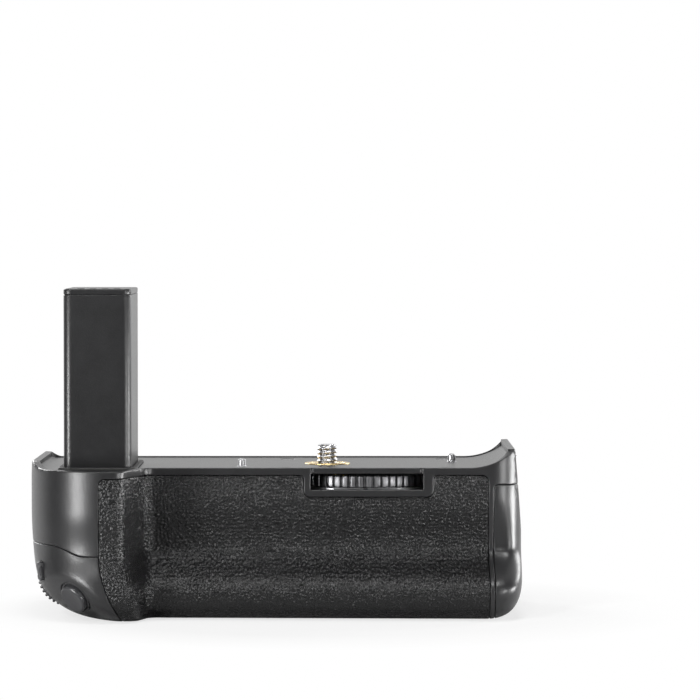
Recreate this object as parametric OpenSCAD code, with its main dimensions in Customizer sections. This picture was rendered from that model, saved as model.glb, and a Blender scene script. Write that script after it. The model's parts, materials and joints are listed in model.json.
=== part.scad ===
/* [Batteries] */
// Length of one battery pack, along the grip
battery_l = 56.8; // [54:0.1:60]
// Width of one battery pack, front to back
battery_w = 38.4; // [36:0.1:41]
// Thickness of one battery pack
battery_t = 21; // [19:0.1:23]

/* [Magazine] */
// Gap all round a battery pack in its tray
pack_clear = 0.3; // [0.2:0.05:0.5]
// Thickness of the tray's side walls
tray_wall = 1.8; // [1.4:0.1:2.4]
// Thickness of the tray's floor and straps
tray_floor = 1.4; // [1:0.1:2]
// Thickness of the tray's cross ribs
tray_rib = 1.4; // [1:0.1:2]
// Gap between the tray and the bay it slides in
slide_clear = 0.3; // [0.2:0.05:0.5]
// Wall of the battery bay
bay_wall = 1.5; // [1.2:0.1:2]
// Room for the contact springs at the bay's closed end
contact_gap = 1.8; // [1.6:0.1:2.4]
// Length of the magazine's end cap
cap_len = 8.7; // [8:0.1:11]
// Thickness of the end cap's outer wall
cap_end = 4.2; // [4:0.1:5]
// Radius of the lock knob on the end cap
knob_r = 9; // [8:0.1:10]
// Travel of the magazine when it is drawn out
magazine_travel = 96; // [60:1:110]

/* [Body] */
// Distance from the camera screw to the end cap's seam
seam_x = 50.4; // [48:0.1:54]
// Length of the control end beyond the battery bay
pod_len = 22.8; // [22:0.1:26]
// Wall of the moulded shells
wall = 2.2; // [2:0.1:2.6]
// Gap along the seams between moulded pieces
seam_gap = 0.1; // [0.05:0.05:0.2]
// Thickness of the rubber covering
rubber_t = 0.9; // [0.7:0.1:1.2]
// Distance of the bay's middle behind the screw axis
bay_y = 5.5; // [5:0.1:7]
// Height of the bay's underside above the base
bay_z0 = 6.1; // [5.8:0.1:8]
// Room for the clamp gearing between the bay and the top plate
mech_h = 8.9; // [8.7:0.1:11]
// Thickness of the top plate
plate_t = 2; // [1.8:0.1:2.6]
// Depth of the finger groove along the front
groove_d = 3.5; // [2:0.1:4.5]
// Forward reach of the hand grip ahead of the front face
grip_depth = 19; // [15:0.5:22]

/* [Camera clamp] */
// Radius of the knurled clamp wheel
wheel_r = 23; // [22:0.1:24]
// Sideways distance of the wheel's middle from the screw axis
wheel_x = 11.7; // [11:0.1:12.5]
// Thickness of the wheel's knurled rim
wheel_t = 3.6; // [3.2:0.1:4]
// Radius of the camera screw's quarter inch thread
screw_r = 3.175; // [2.8:0.005:3.3]
// Height of the camera screw above the top of the grip
screw_rise = 5.7; // [4.5:0.1:6.5]
// Radial clearance of turning pieces in their bores
turn_clear = 0.06; // [0.03:0.01:0.09]

/* [Tripod socket] */
// Radius of the tripod socket's thread
socket_r = 3.175; // [2.8:0.005:3.3]
// Depth of the tripod socket
socket_depth = 5.2; // [4.5:0.1:5.4]

/* [Battery plug] */
// Size of the plug along the grip
tower_w = 20.4; // [19:0.1:21]
// Size of the plug front to back
tower_d = 37.8; // [35:0.1:38.4]
// Height of the plug above the top of the grip
tower_h = 54; // [45:0.5:57]
// Wall of the plug
tower_wall = 1.8; // [1.4:0.1:2.2]

/* [Controls] */
// Radius of the shutter button
shutter_r = 4.6; // [4:0.1:4.7]
// Travel of the shutter button
shutter_travel = 1.4; // [0.8:0.1:1.5]
// Radius of the control dial
dial_r = 9.5; // [9.2:0.1:10.3]
// Width of the control dial
dial_w = 9; // [7:0.1:9.4]
// Grooves round the control dial
dial_ribs = 40; // [30:2:48]
// Radius of the round rear buttons
rear_button_r = 2.8; // [2.4:0.1:3]
// Travel of the small buttons
button_travel = 0.6; // [0.4:0.1:0.7]
// Sliding clearance round buttons
button_clear = 0.15; // [0.1:0.01:0.2]
// Travel of the power switch
switch_travel = 4; // [3:0.1:5]

/* [Hidden] */
$fn = 48;
sliver = 0.02;
black = [0.13, 0.13, 0.14];
rubber_black = [0.08, 0.08, 0.085];
board_green = [0.07, 0.25, 0.16];
steel = [0.7, 0.71, 0.73];
gold = [0.85, 0.68, 0.3];
grey = [0.42, 0.43, 0.45];

// Magazine and bay, driven by the batteries
tray_w = battery_w + 2 * pack_clear + 2 * tray_wall;
tray_h = battery_t + 2 * pack_clear + 2 * tray_floor;
tray_l = 2 * battery_l + 4 * pack_clear + 3 * tray_rib;
right_x = seam_x + cap_len;
tray_right = right_x - cap_end;
tray_left = tray_right - tray_l;
tray_y0 = bay_y - tray_w / 2;
bay_in_left = tray_left - contact_gap;
bay_left = bay_in_left - bay_wall;
bay_mouth = seam_x - 0.3;
bay_front = tray_y0 - slide_clear - bay_wall;
bay_back = bay_y + tray_w / 2 + slide_clear + bay_wall;
tray_z0 = bay_z0 + bay_wall + slide_clear;
bay_top = tray_z0 + tray_h + slide_clear + bay_wall;
bay_mid_z = tray_z0 + tray_h / 2;

// Body outline
left_x = bay_left - pod_len;
plate_z = bay_top + mech_h;
plate_drop = 0.3;
plate_top = plate_z + plate_t;
top_z = plate_top + plate_drop;
rear_gap = 2.2;
front_gap = 2.7;
back_y = bay_back + rear_gap + wall;
inner_back = back_y - wall;
front_y = bay_front - front_gap - wall - groove_d;
grip_front_y = front_y - grip_depth;
split_y = 8;
nose_x = left_x + 26.2;
nose_end_y = -8;
step_x = nose_x + 2;
step_w = 9;
hump_x = nose_x + 6;
hump_w = 8;
bulge_front = 8;
bulge_slope = 4;
bulge_top = 21;
bulge_z = 9;
groove_z = 21;
groove_up = 16;
groove_down = 10;
pod_foot_x = left_x + 28.2;
pod_rise = 32;
cap_foot_x = right_x - 12.1;
cap_rise = 13;
cradle_right_x = seam_x - 7.4;
cradle_right_r = 20.3;
cradle_left_x = left_x + 5.7;
cradle_left_r = 7;
end_round = 9;
front_round = 9;
back_round = 5;
cap_top = top_z - 5;
rubber_top = top_z - 2.2;
rubber_right = seam_x - 1.5;
rubber_edge_x = left_x + 22.5;
rubber_sweep = 6.9;
rubber_sweep_z = 19.9;
pod_seam_rise = 2.8;
rubber_back = -16;

// Clamp gearing
ring_teeth = 60;
pinion_teeth = 20;
wheel_y = front_y + wheel_r + 0.35;
gear_offset = norm([wheel_x, wheel_y]);
gear_angle = atan2(-wheel_y, -wheel_x);
gear_module = 2 * gear_offset / (ring_teeth - pinion_teeth);
ring_root_r = gear_module * (ring_teeth / 2 + 1);
wheel_top = plate_z - 0.2;
wheel_z0 = wheel_top - wheel_t;
collar_r = wheel_r - 2.4;
collar_h = 1.2;
frame_z = bay_top + 0.4;
frame_t = 1.6;
frame_top = frame_z + frame_t;
post_dx = 24.3;
post_front_y = front_y + wall + 3.1;
post_back_y = wheel_y + 24;
lip_t = 0.5;
journal_r = 5.2;
journal_low_r = 4;
collar_z = top_z - lip_t - 0.2;
well_z = wheel_z0 + 1;
well_r = 4.45;
hex_af = 4.8;
screw_float = 2.2;
shank_z = frame_z + screw_float + 0.1;
window_x0 = wheel_x - 16.6;
window_x1 = wheel_x + 17.4;
window_z0 = wheel_z0 - 0.6;
window_z1 = plate_z + 0.6;
window_round = 0.4;

// Control end
shutter_p = [left_x + 15, grip_front_y + 6.64, 7.2];
shutter_in = [0.608, 0.618, 0.498];
sleeve_r = shutter_r + 0.7;
flange_t = 6.2;
shutter_board_t = 13;
function_p = [left_x + 4.4, grip_front_y + 14.6, 14.5];
function_in = [0.884, 0.452, 0.12];
dial_x = left_x + 11.9;
dial_z = 12.3;
dial_y0 = -20;
axle_r = 1.5;
rear_x = left_x + 10.8;
rear_z = [top_z - 10.3, top_z - 20, top_z - 29.7];
board_x0 = left_x + 5.6;
board_x1 = bay_left - 0.5;
board_y = inner_back - 5.2;
board_t = 1.2;
stick_x = left_x + 17.7;
stick_z = 20.5;
stick_y = inner_back - 2.6;
lever_z = 31;
switch_x = left_x + 38;
switch_z = 12;
tower_x = left_x + 21.2;
tower_y = -10;
pin_r = 1.25;
pin_rise = 2;
pin_seat_r = pin_r + 0.4;
pins = [[-26, -12], [wheel_x + 27, 12]];
feet_x = [bay_left + 15, bay_mouth - 10];
feet_y = [bay_front + 8.6, bay_back - 8.6];
rear_pad_x = left_x + 47;
rear_pad_z = 30;
rear_pad_w = 40;
rear_pad_h = 20;
rear_pad_r = 4;
plate_fit = seam_gap + 0.25;
plate_shift = 0.15;
gasket_w = 1.7;
gasket_sink = 0.5;
knob_y = bay_y;
knob_z = 19.5;
knob_x = right_x - 2.9;

// Shaping functions
function part01(t) = min(1, max(0, t));
function smooth(t) = let(c = part01(t)) c * c * (3 - 2 * c);
function corner(u, p) = 1 - pow(1 - pow(part01(u), p), 1 / p);
function blend_max(a, b, k) = let(h = part01(0.5 + 0.5 * (a - b) / k)) b * (1 - h) + a * h + k * h * (1 - h);
function cradle(d, r) = d <= 0 ? 0 : r - sqrt(max(0, r * r - d * d));
function edge_round(rise, r) = rise >= r ? 0 : r - sqrt(max(0, r * r - (r - rise) * (r - rise)));

// Height of the top rim and of the underside at one place along the grip
function top_at(x) = min(
    top_z + cradle(x - cradle_right_x, cradle_right_r) + cradle(cradle_left_x - x, cradle_left_r),
    top_z - 20.3 + (right_x - x) * 12,
    top_z - 5.3 + (x - left_x) * 8);
function bottom_at(x) =
    pod_rise * corner((pod_foot_x - x) / (pod_foot_x - left_x), 3)
    + cap_rise * corner((x - cap_foot_x) / (right_x - cap_foot_x), 2.6);

// Front outline of the upper body and of the lower bulge
function nose_at(x) = nose_end_y
    + (grip_front_y - nose_end_y) * (1 - corner((nose_x - x) / (nose_x - left_x), 2.3));
function end_turn(x) = (end_round + 1) * corner((x - right_x + end_round) / end_round, 2.2);
function plan_high(x) = x < nose_x ? nose_at(x)
    : grip_front_y + grip_depth * smooth((x - step_x) / step_w) + end_turn(x);
function bulge_y(x) = front_y - bulge_front - bulge_slope * (x - nose_x) / (right_x - nose_x);
function plan_low(x) = x < nose_x ? nose_at(x)
    : grip_front_y + (bulge_y(x) - grip_front_y) * smooth((x - hump_x) / hump_w) + end_turn(x);
function groove_at(x, z) = groove_d * (0.55 + 0.45 * smooth((x - nose_x) / 14))
    * smooth(1 - abs(z - groove_z) / (z > groove_z ? groove_up : groove_down));
function facet_at(x, z) = shutter_p[1]
    - (shutter_in[0] * (x - shutter_p[0]) + shutter_in[2] * (z - shutter_p[2])) / shutter_in[1];
function front_at(x, z) = let(w = smooth((bulge_top - z) / (bulge_top - bulge_z)))
    blend_max(plan_high(x) * (1 - w) + plan_low(x) * w + groove_at(x, z), facet_at(x, z), 2);
function back_at(x) = back_y - 12 * corner((left_x + 8 - x) / 8, 2)
    - end_round * corner((x - right_x + end_round) / end_round, 2.2);

// Stations along the grip and levels up it
function spread(a, b, n) = [for (i = [0:n - 1]) a + (b - a) * i / n];
function spread_out(a, b, n) = [for (i = [0:n - 1]) a + (b - a) * (1 - cos(90 * i / n))];
function spread_in(a, b, n) = [for (i = [0:n - 1]) a + (b - a) * sin(90 * i / n)];
function levels_of(n) = [for (k = [0:n]) pow(1 - k / n, 1.5)];
fine_x = concat(spread_out(left_x, nose_x, 13), spread(nose_x, nose_x + 15, 9),
    spread(nose_x + 15, cradle_right_x, 8), spread_in(cradle_right_x, right_x, 14), [right_x]);
rough_x = concat(spread_out(left_x, nose_x, 7), spread(nose_x, nose_x + 15, 9),
    spread(nose_x + 15, cradle_right_x, 3), spread_in(cradle_right_x, right_x, 7), [right_x]);
fine_z = levels_of(15);
rough_z = levels_of(9);
mid_x = (left_x + right_x) / 2;

// Draws the front in by d square to its slope
function front_inset(x, z, d) =
    let(sx = x < nose_x ? 0.5 : (front_at(x + 0.4, z) - front_at(x - 0.4, z)) / 0.8,
        sz = (front_at(x, z + 0.4) - front_at(x, z - 0.4)) / 0.8)
    front_at(x, z) + d * min(3.4, sqrt(1 + sx * sx + sz * sz));
function section(x, d, rise, levels) =
    let(xi = mid_x + (x - mid_x) * (1 - 2 * d / (right_x - left_x)), zb = bottom_at(x) + d, zt = top_at(x) + rise,
        zs = [for (h = levels) zb + h * (zt - zb)], n = len(levels))
    concat([for (z = zs) [xi, front_inset(x, z, d) + edge_round(z - zb, front_round - d), z]],
        [for (k = [n - 1:-1:0]) [xi, back_at(x) - d - edge_round(zs[k] - zb, back_round - d), zs[k]]]);

// The outer skin of the grip, drawn in by d and raised at the top by rise
module skin(d = 0, rise = 0, xs = fine_x, levels = fine_z) {
    n = 2 * len(levels);
    m = len(levels);
    last = (len(xs) - 1) * n;
    points = [for (x = xs) each section(x, d, rise, levels)];
    sides = [for (s = [0:len(xs) - 2], i = [0:n - 1])
        let(a = s * n + i, b = s * n + (i + 1) % n)
        each [[a, a + n, b], [b, a + n, b + n]]];
    start = [for (k = [0:m - 2]) each [[k, k + 1, n - 2 - k], [k, n - 2 - k, n - 1 - k]]];
    finish = [for (k = [0:m - 2])
        each [[last + k, last + n - 2 - k, last + k + 1], [last + k, last + n - 1 - k, last + n - 2 - k]]];
    polyhedron(points, concat(sides, start, finish), convexity = 10);
}
module cavity(d = wall) {
    skin(d, wall + 4, rough_x, rough_z);
}
// Joins a sculpted form into one solid
module sculpted() {
    resize([0, 0, 0]) children();
}

// Building blocks
module block(x0, x1, y0, y1, z0, z1) {
    translate([x0, y0, z0]) cube([x1 - x0, y1 - y0, z1 - z0]);
}
module rounded(w, h, r) {
    square([w - 2 * r, h], center = true);
    square([w, h - 2 * r], center = true);
    for (sx = [-1, 1], sy = [-1, 1]) {
        translate([sx * (w / 2 - r), sy * (h / 2 - r)]) circle(r);
    }
}
module tube(r, bore, h) {
    difference() {
        cylinder(r = r, h = h);
        translate([0, 0, -1]) cylinder(r = bore, h = h + 2);
    }
}
module stadium(r, half, h) {
    for (s = [-1, 1]) {
        translate([s * half, 0, 0]) cylinder(r = r, h = h);
    }
    translate([-half, -r, 0]) cube([2 * half, 2 * r, h]);
}
module aim(p, v) {
    translate(p) rotate([0, acos(v[2]), atan2(v[1], v[0])]) children();
}
module along_x(x, y, z) {
    translate([x, y, z]) rotate([0, 90, 0]) children();
}
module along_y(x, y, z) {
    translate([x, y, z]) rotate([-90, 0, 0]) children();
}
module coil(r, wire, turns, h) {
    sides = 6;
    steps = 12 * turns;
    points = [for (i = [0:steps], j = [0:sides - 1])
        let(a = 30 * i, q = 360 * j / sides)
        [(r + wire * cos(q)) * cos(a), (r + wire * cos(q)) * sin(a),
            wire + (h - 2 * wire) * i / steps + wire * sin(q)]];
    walls = [for (i = [0:steps - 1], j = [0:sides - 1])
        let(a = i * sides + j, b = i * sides + (j + 1) % sides)
        each [[a, b, a + sides], [b, b + sides, a + sides]]];
    ends = [[for (j = [sides - 1:-1:0]) j], [for (j = [0:sides - 1]) steps * sides + j]];
    polyhedron(points, concat(walls, ends), convexity = 10);
}
module screw(r, head_r, head_h, l) {
    difference() {
        union() {
            cylinder(r = head_r, h = head_h);
            translate([0, 0, head_h - sliver]) cylinder(r = r, h = l);
        }
        translate([-head_r * 0.6, -0.25, -1]) cube([head_r * 1.2, 0.5, 1 + head_h * 0.5]);
        translate([-0.25, -head_r * 0.6, -1]) cube([0.5, head_r * 1.2, 1 + head_h * 0.5]);
    }
}

// Gear teeth with involute flanks
function inv_deg(a) = tan(a) * 180 / PI - a;
function half_angle(r, pitch, base) = base + inv_deg(20)
    - (r > pitch * cos(20) ? inv_deg(acos(pitch * cos(20) / r)) : 0);
function gear_points(n, add, ded, play) =
    let(pitch = gear_module * n / 2, base = 90 / n + play / pitch * 90 / PI,
        radii = [pitch - ded, pitch, pitch + add / 2, pitch + add])
    [for (i = [0:n - 1]) each concat(
        [for (r = radii) let(a = i * 360 / n - half_angle(r, pitch, base)) [r * cos(a), r * sin(a)]],
        [for (k = [3:-1:0]) let(r = radii[k], a = i * 360 / n + half_angle(r, pitch, base))
            [r * cos(a), r * sin(a)]])];
function knurl_points(n, r, depth) = [for (i = [0:n - 1])
    each [for (q = [[0, 0], [0.18, 1], [0.62, 1], [0.8, 0]])
        let(a = 360 * (i + q[0]) / n, s = r - depth + depth * q[1]) [s * cos(a), s * sin(a)]]];

// Outlines seen from the front
function rubber_left(z) = rubber_edge_x
    + rubber_sweep * pow(part01((rubber_sweep_z - z) / rubber_sweep_z), 1.8);
function pod_seam(x) = rubber_sweep_z + pod_seam_rise * (1 - smooth((x - left_x - 8) / 10));
module front_view(y0, y1) {
    translate([0, y1, 0]) rotate([90, 0, 0]) linear_extrude(y1 - y0) children();
}
module rubber_outline(grow = 0) {
    offset(delta = grow) difference() {
        offset(r = 2) offset(delta = -2) polygon(concat(
            [for (z = [-8, 0, 2, 4, 7, 10, 13, rubber_sweep_z]) [rubber_left(z), z]],
            [[rubber_edge_x, rubber_top], [rubber_right, rubber_top], [rubber_right, -8]]));
        offset(r = 2) offset(delta = -2)
            translate([window_x0 - 2.1, window_z0 - 2.1]) square([window_x1 - window_x0 + 5.3, 30]);
    }
}
module pod_outline(grow = 0) {
    offset(delta = grow) polygon(concat(
        [[left_x - 4, -4]],
        [for (z = [-4, 0, 2, 4, 7, 10, 13, rubber_sweep_z]) [rubber_left(z), z]],
        [for (i = [0:8]) let(x = rubber_edge_x - (rubber_edge_x - left_x + 4) * i / 8) [x, pod_seam(x) + sliver]]));
}
module cap_space(gap = 0) {
    block(seam_x - gap, right_x + 5, -80, 60, -5, cap_top + gap);
}
module pod_space(gap = 0) {
    front_view(-80, split_y + gap) pod_outline(gap);
}
module rubber_space(gap = 0) {
    intersection() {
        front_view(-80, rubber_back + gap) rubber_outline(gap);
        difference() {
            skin(-0.6);
            skin(rubber_t + gap);
        }
    }
}
module window_space() {
    front_view(-60, -12) translate([(window_x0 + window_x1) / 2, (window_z0 + window_z1) / 2])
        offset(r = window_round) offset(delta = -window_round)
        square([window_x1 - window_x0, window_z1 - window_z0], center = true);
}

// Moulded outer pieces
module front_shell() {
    color(black) difference() {
        sculpted() difference() {
            skin();
            cavity();
            block(-120, 100, split_y, 60, -5, 80);
            cap_space();
            pod_space(seam_gap);
            rubber_space(sliver);
            window_space();
        }
        translate([0, 0, -1]) cylinder(r = 5.2, h = 5);
        foot_holes(feet_y[0]);
    }
}
module rear_shell() {
    color(black) difference() {
        union() {
            sculpted() difference() {
                skin();
                cavity();
                block(-120, 100, -80, split_y + seam_gap, -5, 80);
                cap_space();
                rear_rubber_form(rubber_t, sliver);
                block(switch_x - 2.6, switch_x + switch_travel + 2.6, inner_back - 1, back_y + 1,
                    switch_z - 1.7, switch_z + 1.7);
            }
            for (z = [13.5, top_z - 6.5]) {
                along_y(stick_x, board_y + board_t, z) cylinder(r = 1.4, h = inner_back - board_y - board_t + 0.3);
            }
        }
        for (z = rear_z) {
            along_y(rear_x, inner_back - 1, z) cylinder(r = rear_button_r + button_clear, h = wall + 3);
        }
        along_y(stick_x, inner_back - 1, stick_z) cylinder(r = 4.7, h = wall + 3);
        along_y(stick_x, inner_back - 1, lever_z) cylinder(r = 1.5 + turn_clear, h = wall + 3);
        foot_holes(feet_y[1]);
    }
}
module foot_holes(y) {
    for (x = feet_x) {
        translate([x, y, -1]) cylinder(r = 1.2, h = 5);
        translate([x, y, -1]) cylinder(r = 2.3, h = 2.2);
    }
}
module control_pod() {
    color(black) difference() {
        sculpted() difference() {
            intersection() {
                skin();
                pod_space();
            }
            cavity();
        }
        aim(shutter_p, shutter_in) translate([0, 0, -6]) cylinder(r = sleeve_r + 0.1, h = 14);
        aim(function_p, function_in) translate([0, 0, -4]) stadium(1.5 + button_clear, 1.4, 9);
        along_y(dial_x, dial_y0 - 0.4, dial_z) cylinder(r = dial_r + 0.4, h = dial_w + 0.8);
    }
}
module top_plate() {
    inset = wall + plate_fit;
    color(black) difference() {
        sculpted() intersection() {
            translate([-plate_shift, 0, 0]) skin(inset, -plate_drop, fine_x, fine_z);
            plate_band();
        }
        translate([0, 0, plate_z - 1]) cylinder(r = 7.02, h = 10);
        translate([tower_x, tower_y, plate_z - 2]) linear_extrude(8) rounded(tower_w + 0.2, tower_d + 0.2, 2.6);
        translate([tower_x, tower_y, plate_top - gasket_sink]) linear_extrude(8) gasket_outline(sliver);
        for (p = pins) {
            translate([p[0], p[1], plate_z - 2]) cylinder(r = pin_seat_r + sliver, h = 8);
        }
        post_holes();
    }
}
module plate_band() {
    front_view(-80, 60) polygon(concat(
        [for (x = fine_x) [x, min(top_at(x), top_z + 6) - plate_drop - plate_t]],
        [[right_x, top_z + 20], [left_x, top_z + 20]]));
}
module post_spots() {
    for (sx = [-1, 1], y = [post_front_y, post_back_y]) {
        translate([wheel_x + sx * post_dx, y, 0]) children();
    }
}
module post_holes() {
    post_spots() {
        translate([0, 0, plate_z - 1]) cylinder(r = 1.2, h = 6);
        translate([0, 0, plate_top - 1.1]) cylinder(r = 2.3, h = 4);
    }
}
module front_rubber() {
    color(rubber_black) sculpted() intersection() {
        front_view(-80, rubber_back) rubber_outline();
        difference() {
            skin();
            skin(rubber_t);
        }
    }
}
module rear_rubber_form(depth, gap) {
    along_y(rear_pad_x, back_y - depth - gap, rear_pad_z) linear_extrude(depth + 2)
        rounded(rear_pad_w + 2 * gap, rear_pad_h + 2 * gap, rear_pad_r + gap);
}
module rear_rubber() {
    color(rubber_black) along_y(rear_pad_x, back_y - rubber_t, rear_pad_z) linear_extrude(rubber_t)
        rounded(rear_pad_w, rear_pad_h, rear_pad_r);
}

// Battery bay and its contacts
module battery_bay() {
    color([0.18, 0.18, 0.19]) difference() {
        union() {
            block(bay_left, bay_mouth, bay_front, bay_back, bay_z0, bay_top);
            for (x = feet_x, y = feet_y) {
                translate([x, y, wall + 0.1]) cylinder(r = 3, h = bay_z0 - wall);
            }
        }
        block(bay_in_left, bay_mouth + 1,
            bay_front + bay_wall, bay_back - bay_wall, bay_z0 + bay_wall, bay_top - bay_wall);
        for (x = feet_x, y = feet_y) {
            translate([x, y, 0]) cylinder(r = 1.05, h = bay_z0 + 0.4);
        }
    }
}
module bay_seal() {
    color(rubber_black) difference() {
        block(bay_mouth - 3, bay_mouth - 1.4, bay_front - 1, bay_back + 1, bay_z0 - 1, bay_top + 1);
        block(bay_mouth - 4, bay_mouth, bay_front, bay_back, bay_z0, bay_top);
    }
}
module bay_contacts() {
    color(gold) for (i = [-1, 0, 1]) {
        block(bay_in_left, bay_in_left + 0.5, bay_y + i * 8 - 2, bay_y + i * 8 + 2, bay_mid_z - 6, bay_mid_z + 6);
        block(bay_in_left + 0.5 - sliver, bay_in_left + 1.1,
            bay_y + i * 8 - 1.2, bay_y + i * 8 + 1.2, bay_mid_z - 2, bay_mid_z + 2);
    }
}

// Tripod socket
module tripod_plate() {
    color(steel) difference() {
        block(-17, 17, -14, split_y - 0.6, wall + 0.1, wall + 1.3);
        translate([0, 0, 0]) cylinder(r = 5.1, h = 8);
        for (sx = [-1, 1]) {
            translate([sx * 13, -10, 0]) cylinder(r = 1.2, h = 8);
        }
    }
}
module tripod_socket() {
    color(steel) difference() {
        union() {
            cylinder(r = 5, h = wall + 2);
            translate([0, 0, wall + 1.3]) cylinder(r = 7, h = 1.2);
            cylinder(r = 5, h = bay_z0 - 0.2);
        }
        translate([0, 0, -1]) cylinder(r = socket_r, h = socket_depth + 1);
    }
}

// Battery-shaped plug
module tower_shell() {
    color(black) difference() {
        translate([tower_x, tower_y, plate_z - 1.2]) {
            linear_extrude(tower_h + top_z - plate_z + 1.2 - 1.8) rounded(tower_w, tower_d, 2.5);
            linear_extrude(1.2) rounded(tower_w + 2.4, tower_d + 2.4, 2.5);
        }
        translate([tower_x, tower_y, plate_z - 3]) linear_extrude(tower_h + 20)
            rounded(tower_w - 2 * tower_wall, tower_d - 2 * tower_wall, 1.2);
    }
}
module tower_cap() {
    color(black) difference() {
        union() {
            translate([tower_x, tower_y, top_z + tower_h - 1.8]) linear_extrude(1.8) rounded(tower_w, tower_d, 2.5);
            translate([tower_x, tower_y, top_z + tower_h - 4]) linear_extrude(2.2 + sliver)
                rounded(tower_w - 2 * tower_wall - 0.1, tower_d - 2 * tower_wall - 0.1, 1.1);
        }
        for (i = [-1.5:1:1.5]) {
            translate([tower_x + i * 3.6, tower_y - tower_d / 2 + 7, top_z + tower_h - 5])
                linear_extrude(8) square([1.8, 8], center = true);
        }
    }
}
module tower_contacts() {
    color(gold) for (i = [-1.5:1:1.5]) {
        translate([tower_x + i * 3.6, tower_y - tower_d / 2 + 7, top_z + tower_h - 4.5])
            linear_extrude(4.1) square([1.76, 7.96], center = true);
    }
}
module gasket_outline(grow = 0) {
    rounded(tower_w + 2 * (gasket_w + grow), tower_d + 2 * (gasket_w + grow), 3.6 + grow);
}
module tower_gasket() {
    color(rubber_black) translate([tower_x, tower_y, plate_top - gasket_sink])
        linear_extrude(gasket_sink + 0.6) difference() {
        gasket_outline();
        rounded(tower_w + 0.1, tower_d + 0.1, 2.55);
    }
}
module tower_board() {
    color(board_green) translate([tower_x - tower_w / 2 + tower_wall + 0.2, tower_y - 14, plate_z - 1])
        cube([board_t, 28, tower_h - 4]);
}

// Clamp gearing under the top plate
module locating_pins() {
    color(steel) for (p = pins) {
        translate([p[0], p[1], plate_z]) cylinder(r = pin_seat_r, h = plate_t);
        translate([p[0], p[1], plate_top]) cylinder(r = pin_r, h = pin_rise);
        translate([p[0], p[1], plate_top + pin_rise]) cylinder(r1 = pin_r, r2 = pin_r - 0.4, h = 0.4);
    }
}
module clamp_frame() {
    color(grey) difference() {
        union() {
            block(wheel_x - post_dx - 2.8, wheel_x + post_dx + 2.8,
                front_y + wall + 0.5, post_back_y + 2.6, frame_z, frame_top);
            translate([wheel_x, wheel_y, frame_z]) cylinder(r = wheel_r - 0.2, h = wheel_z0 - 0.2 - frame_z);
            post_spots() translate([0, 0, frame_z]) cylinder(r = 2.5, h = plate_z - frame_z);
        }
        translate([wheel_x, wheel_y, frame_top]) tube(collar_r + turn_clear, 0.01, 20);
        block(-80, 80, -80, front_y + wall + 0.5, 0, 80);
        translate([0, 0, frame_z - 1]) cylinder(r = journal_low_r + turn_clear, h = 20);
        post_spots() translate([0, 0, frame_top]) cylinder(r = 1.05, h = 20);
    }
    color(grey) translate([0, 0, frame_top - sliver]) tube(6, journal_low_r + turn_clear, wheel_z0 - frame_top);
}
module screw_bush() {
    color(gold) difference() {
        translate([0, 0, plate_z]) cylinder(r = 7, h = top_z - plate_z);
        translate([0, 0, plate_z - 1]) cylinder(r = journal_r + turn_clear, h = top_z - plate_z + 1 - lip_t);
        translate([0, 0, plate_z]) cylinder(r = screw_r + 0.25, h = 20);
    }
}
module clamp_wheel() {
    color(grey) translate([wheel_x, wheel_y, 0]) difference() {
        union() {
            translate([0, 0, wheel_z0]) linear_extrude(wheel_t) polygon(knurl_points(60, wheel_r, 0.8));
            translate([0, 0, wheel_z0 - collar_h]) cylinder(r = collar_r, h = collar_h + sliver);
        }
        translate([0, 0, wheel_z0 - collar_h - 1]) cylinder(r = ring_root_r + 0.1, h = collar_h + 1);
        translate([0, 0, wheel_z0 - sliver]) rotate(gear_angle) linear_extrude(wheel_t + 1)
            polygon(gear_points(ring_teeth, gear_module, gear_module * 0.5, 0.16));
    }
}
module screw_pinion() {
    color(gold) difference() {
        union() {
            translate([0, 0, wheel_z0 + 0.3]) rotate(gear_angle) linear_extrude(wheel_t - 0.6)
                polygon(gear_points(pinion_teeth, gear_module * 0.7, gear_module, -0.16));
            translate([0, 0, frame_top + 0.3]) cylinder(r = journal_low_r, h = wheel_z0 - frame_top);
            translate([0, 0, wheel_top - 0.4]) cylinder(r = journal_r, h = collar_z - wheel_top + 0.3);
        }
        translate([0, 0, well_z]) cylinder(r = well_r, h = 20);
        translate([0, 0, frame_z]) cylinder(r = (hex_af + 0.2) / sqrt(3), h = 20, $fn = 6);
    }
}
module camera_screw() {
    color(steel) union() {
        translate([0, 0, shank_z]) cylinder(r = hex_af / sqrt(3), h = collar_z - shank_z - 0.6, $fn = 6);
        translate([0, 0, collar_z - 1.2]) cylinder(r = well_r - 0.15, h = 1.1);
        translate([0, 0, collar_z - 0.6]) cylinder(r = screw_r - 0.35, h = top_z - collar_z + 0.6);
        translate([0, 0, top_z]) cylinder(r = screw_r, h = screw_rise - 0.6);
        translate([0, 0, top_z + screw_rise - 0.6]) cylinder(r1 = screw_r, r2 = screw_r - 0.6, h = 0.6);
    }
}
module screw_spring() {
    color(steel) translate([0, 0, well_z + 0.05]) coil(3.65, 0.2, 3, collar_z - 1.2 - well_z - 0.1);
}

// Circuit boards
module main_board() {
    color(board_green) union() {
        block(bay_left + 4, wheel_x - post_dx - 4, bay_front + 4, bay_back - 3, frame_z, frame_z + board_t);
        block(bay_left + 12, bay_left + 22, 4, 14, frame_z + board_t - sliver, frame_z + board_t + 1.4);
        block(bay_left + 30, bay_left + 36, -6, 2, frame_z + board_t - sliver, frame_z + board_t + 1);
    }
}
module rear_board() {
    color(board_green) union() {
        block(board_x0, board_x1, board_y, board_y + board_t, 12, top_z - 5);
        for (z = rear_z) {
            block(rear_x - 1.6, rear_x + 1.6, board_y + board_t - sliver,
                inner_back - 2.6 - button_travel, z - 1.6, z + 1.6);
        }
    }
}

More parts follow.
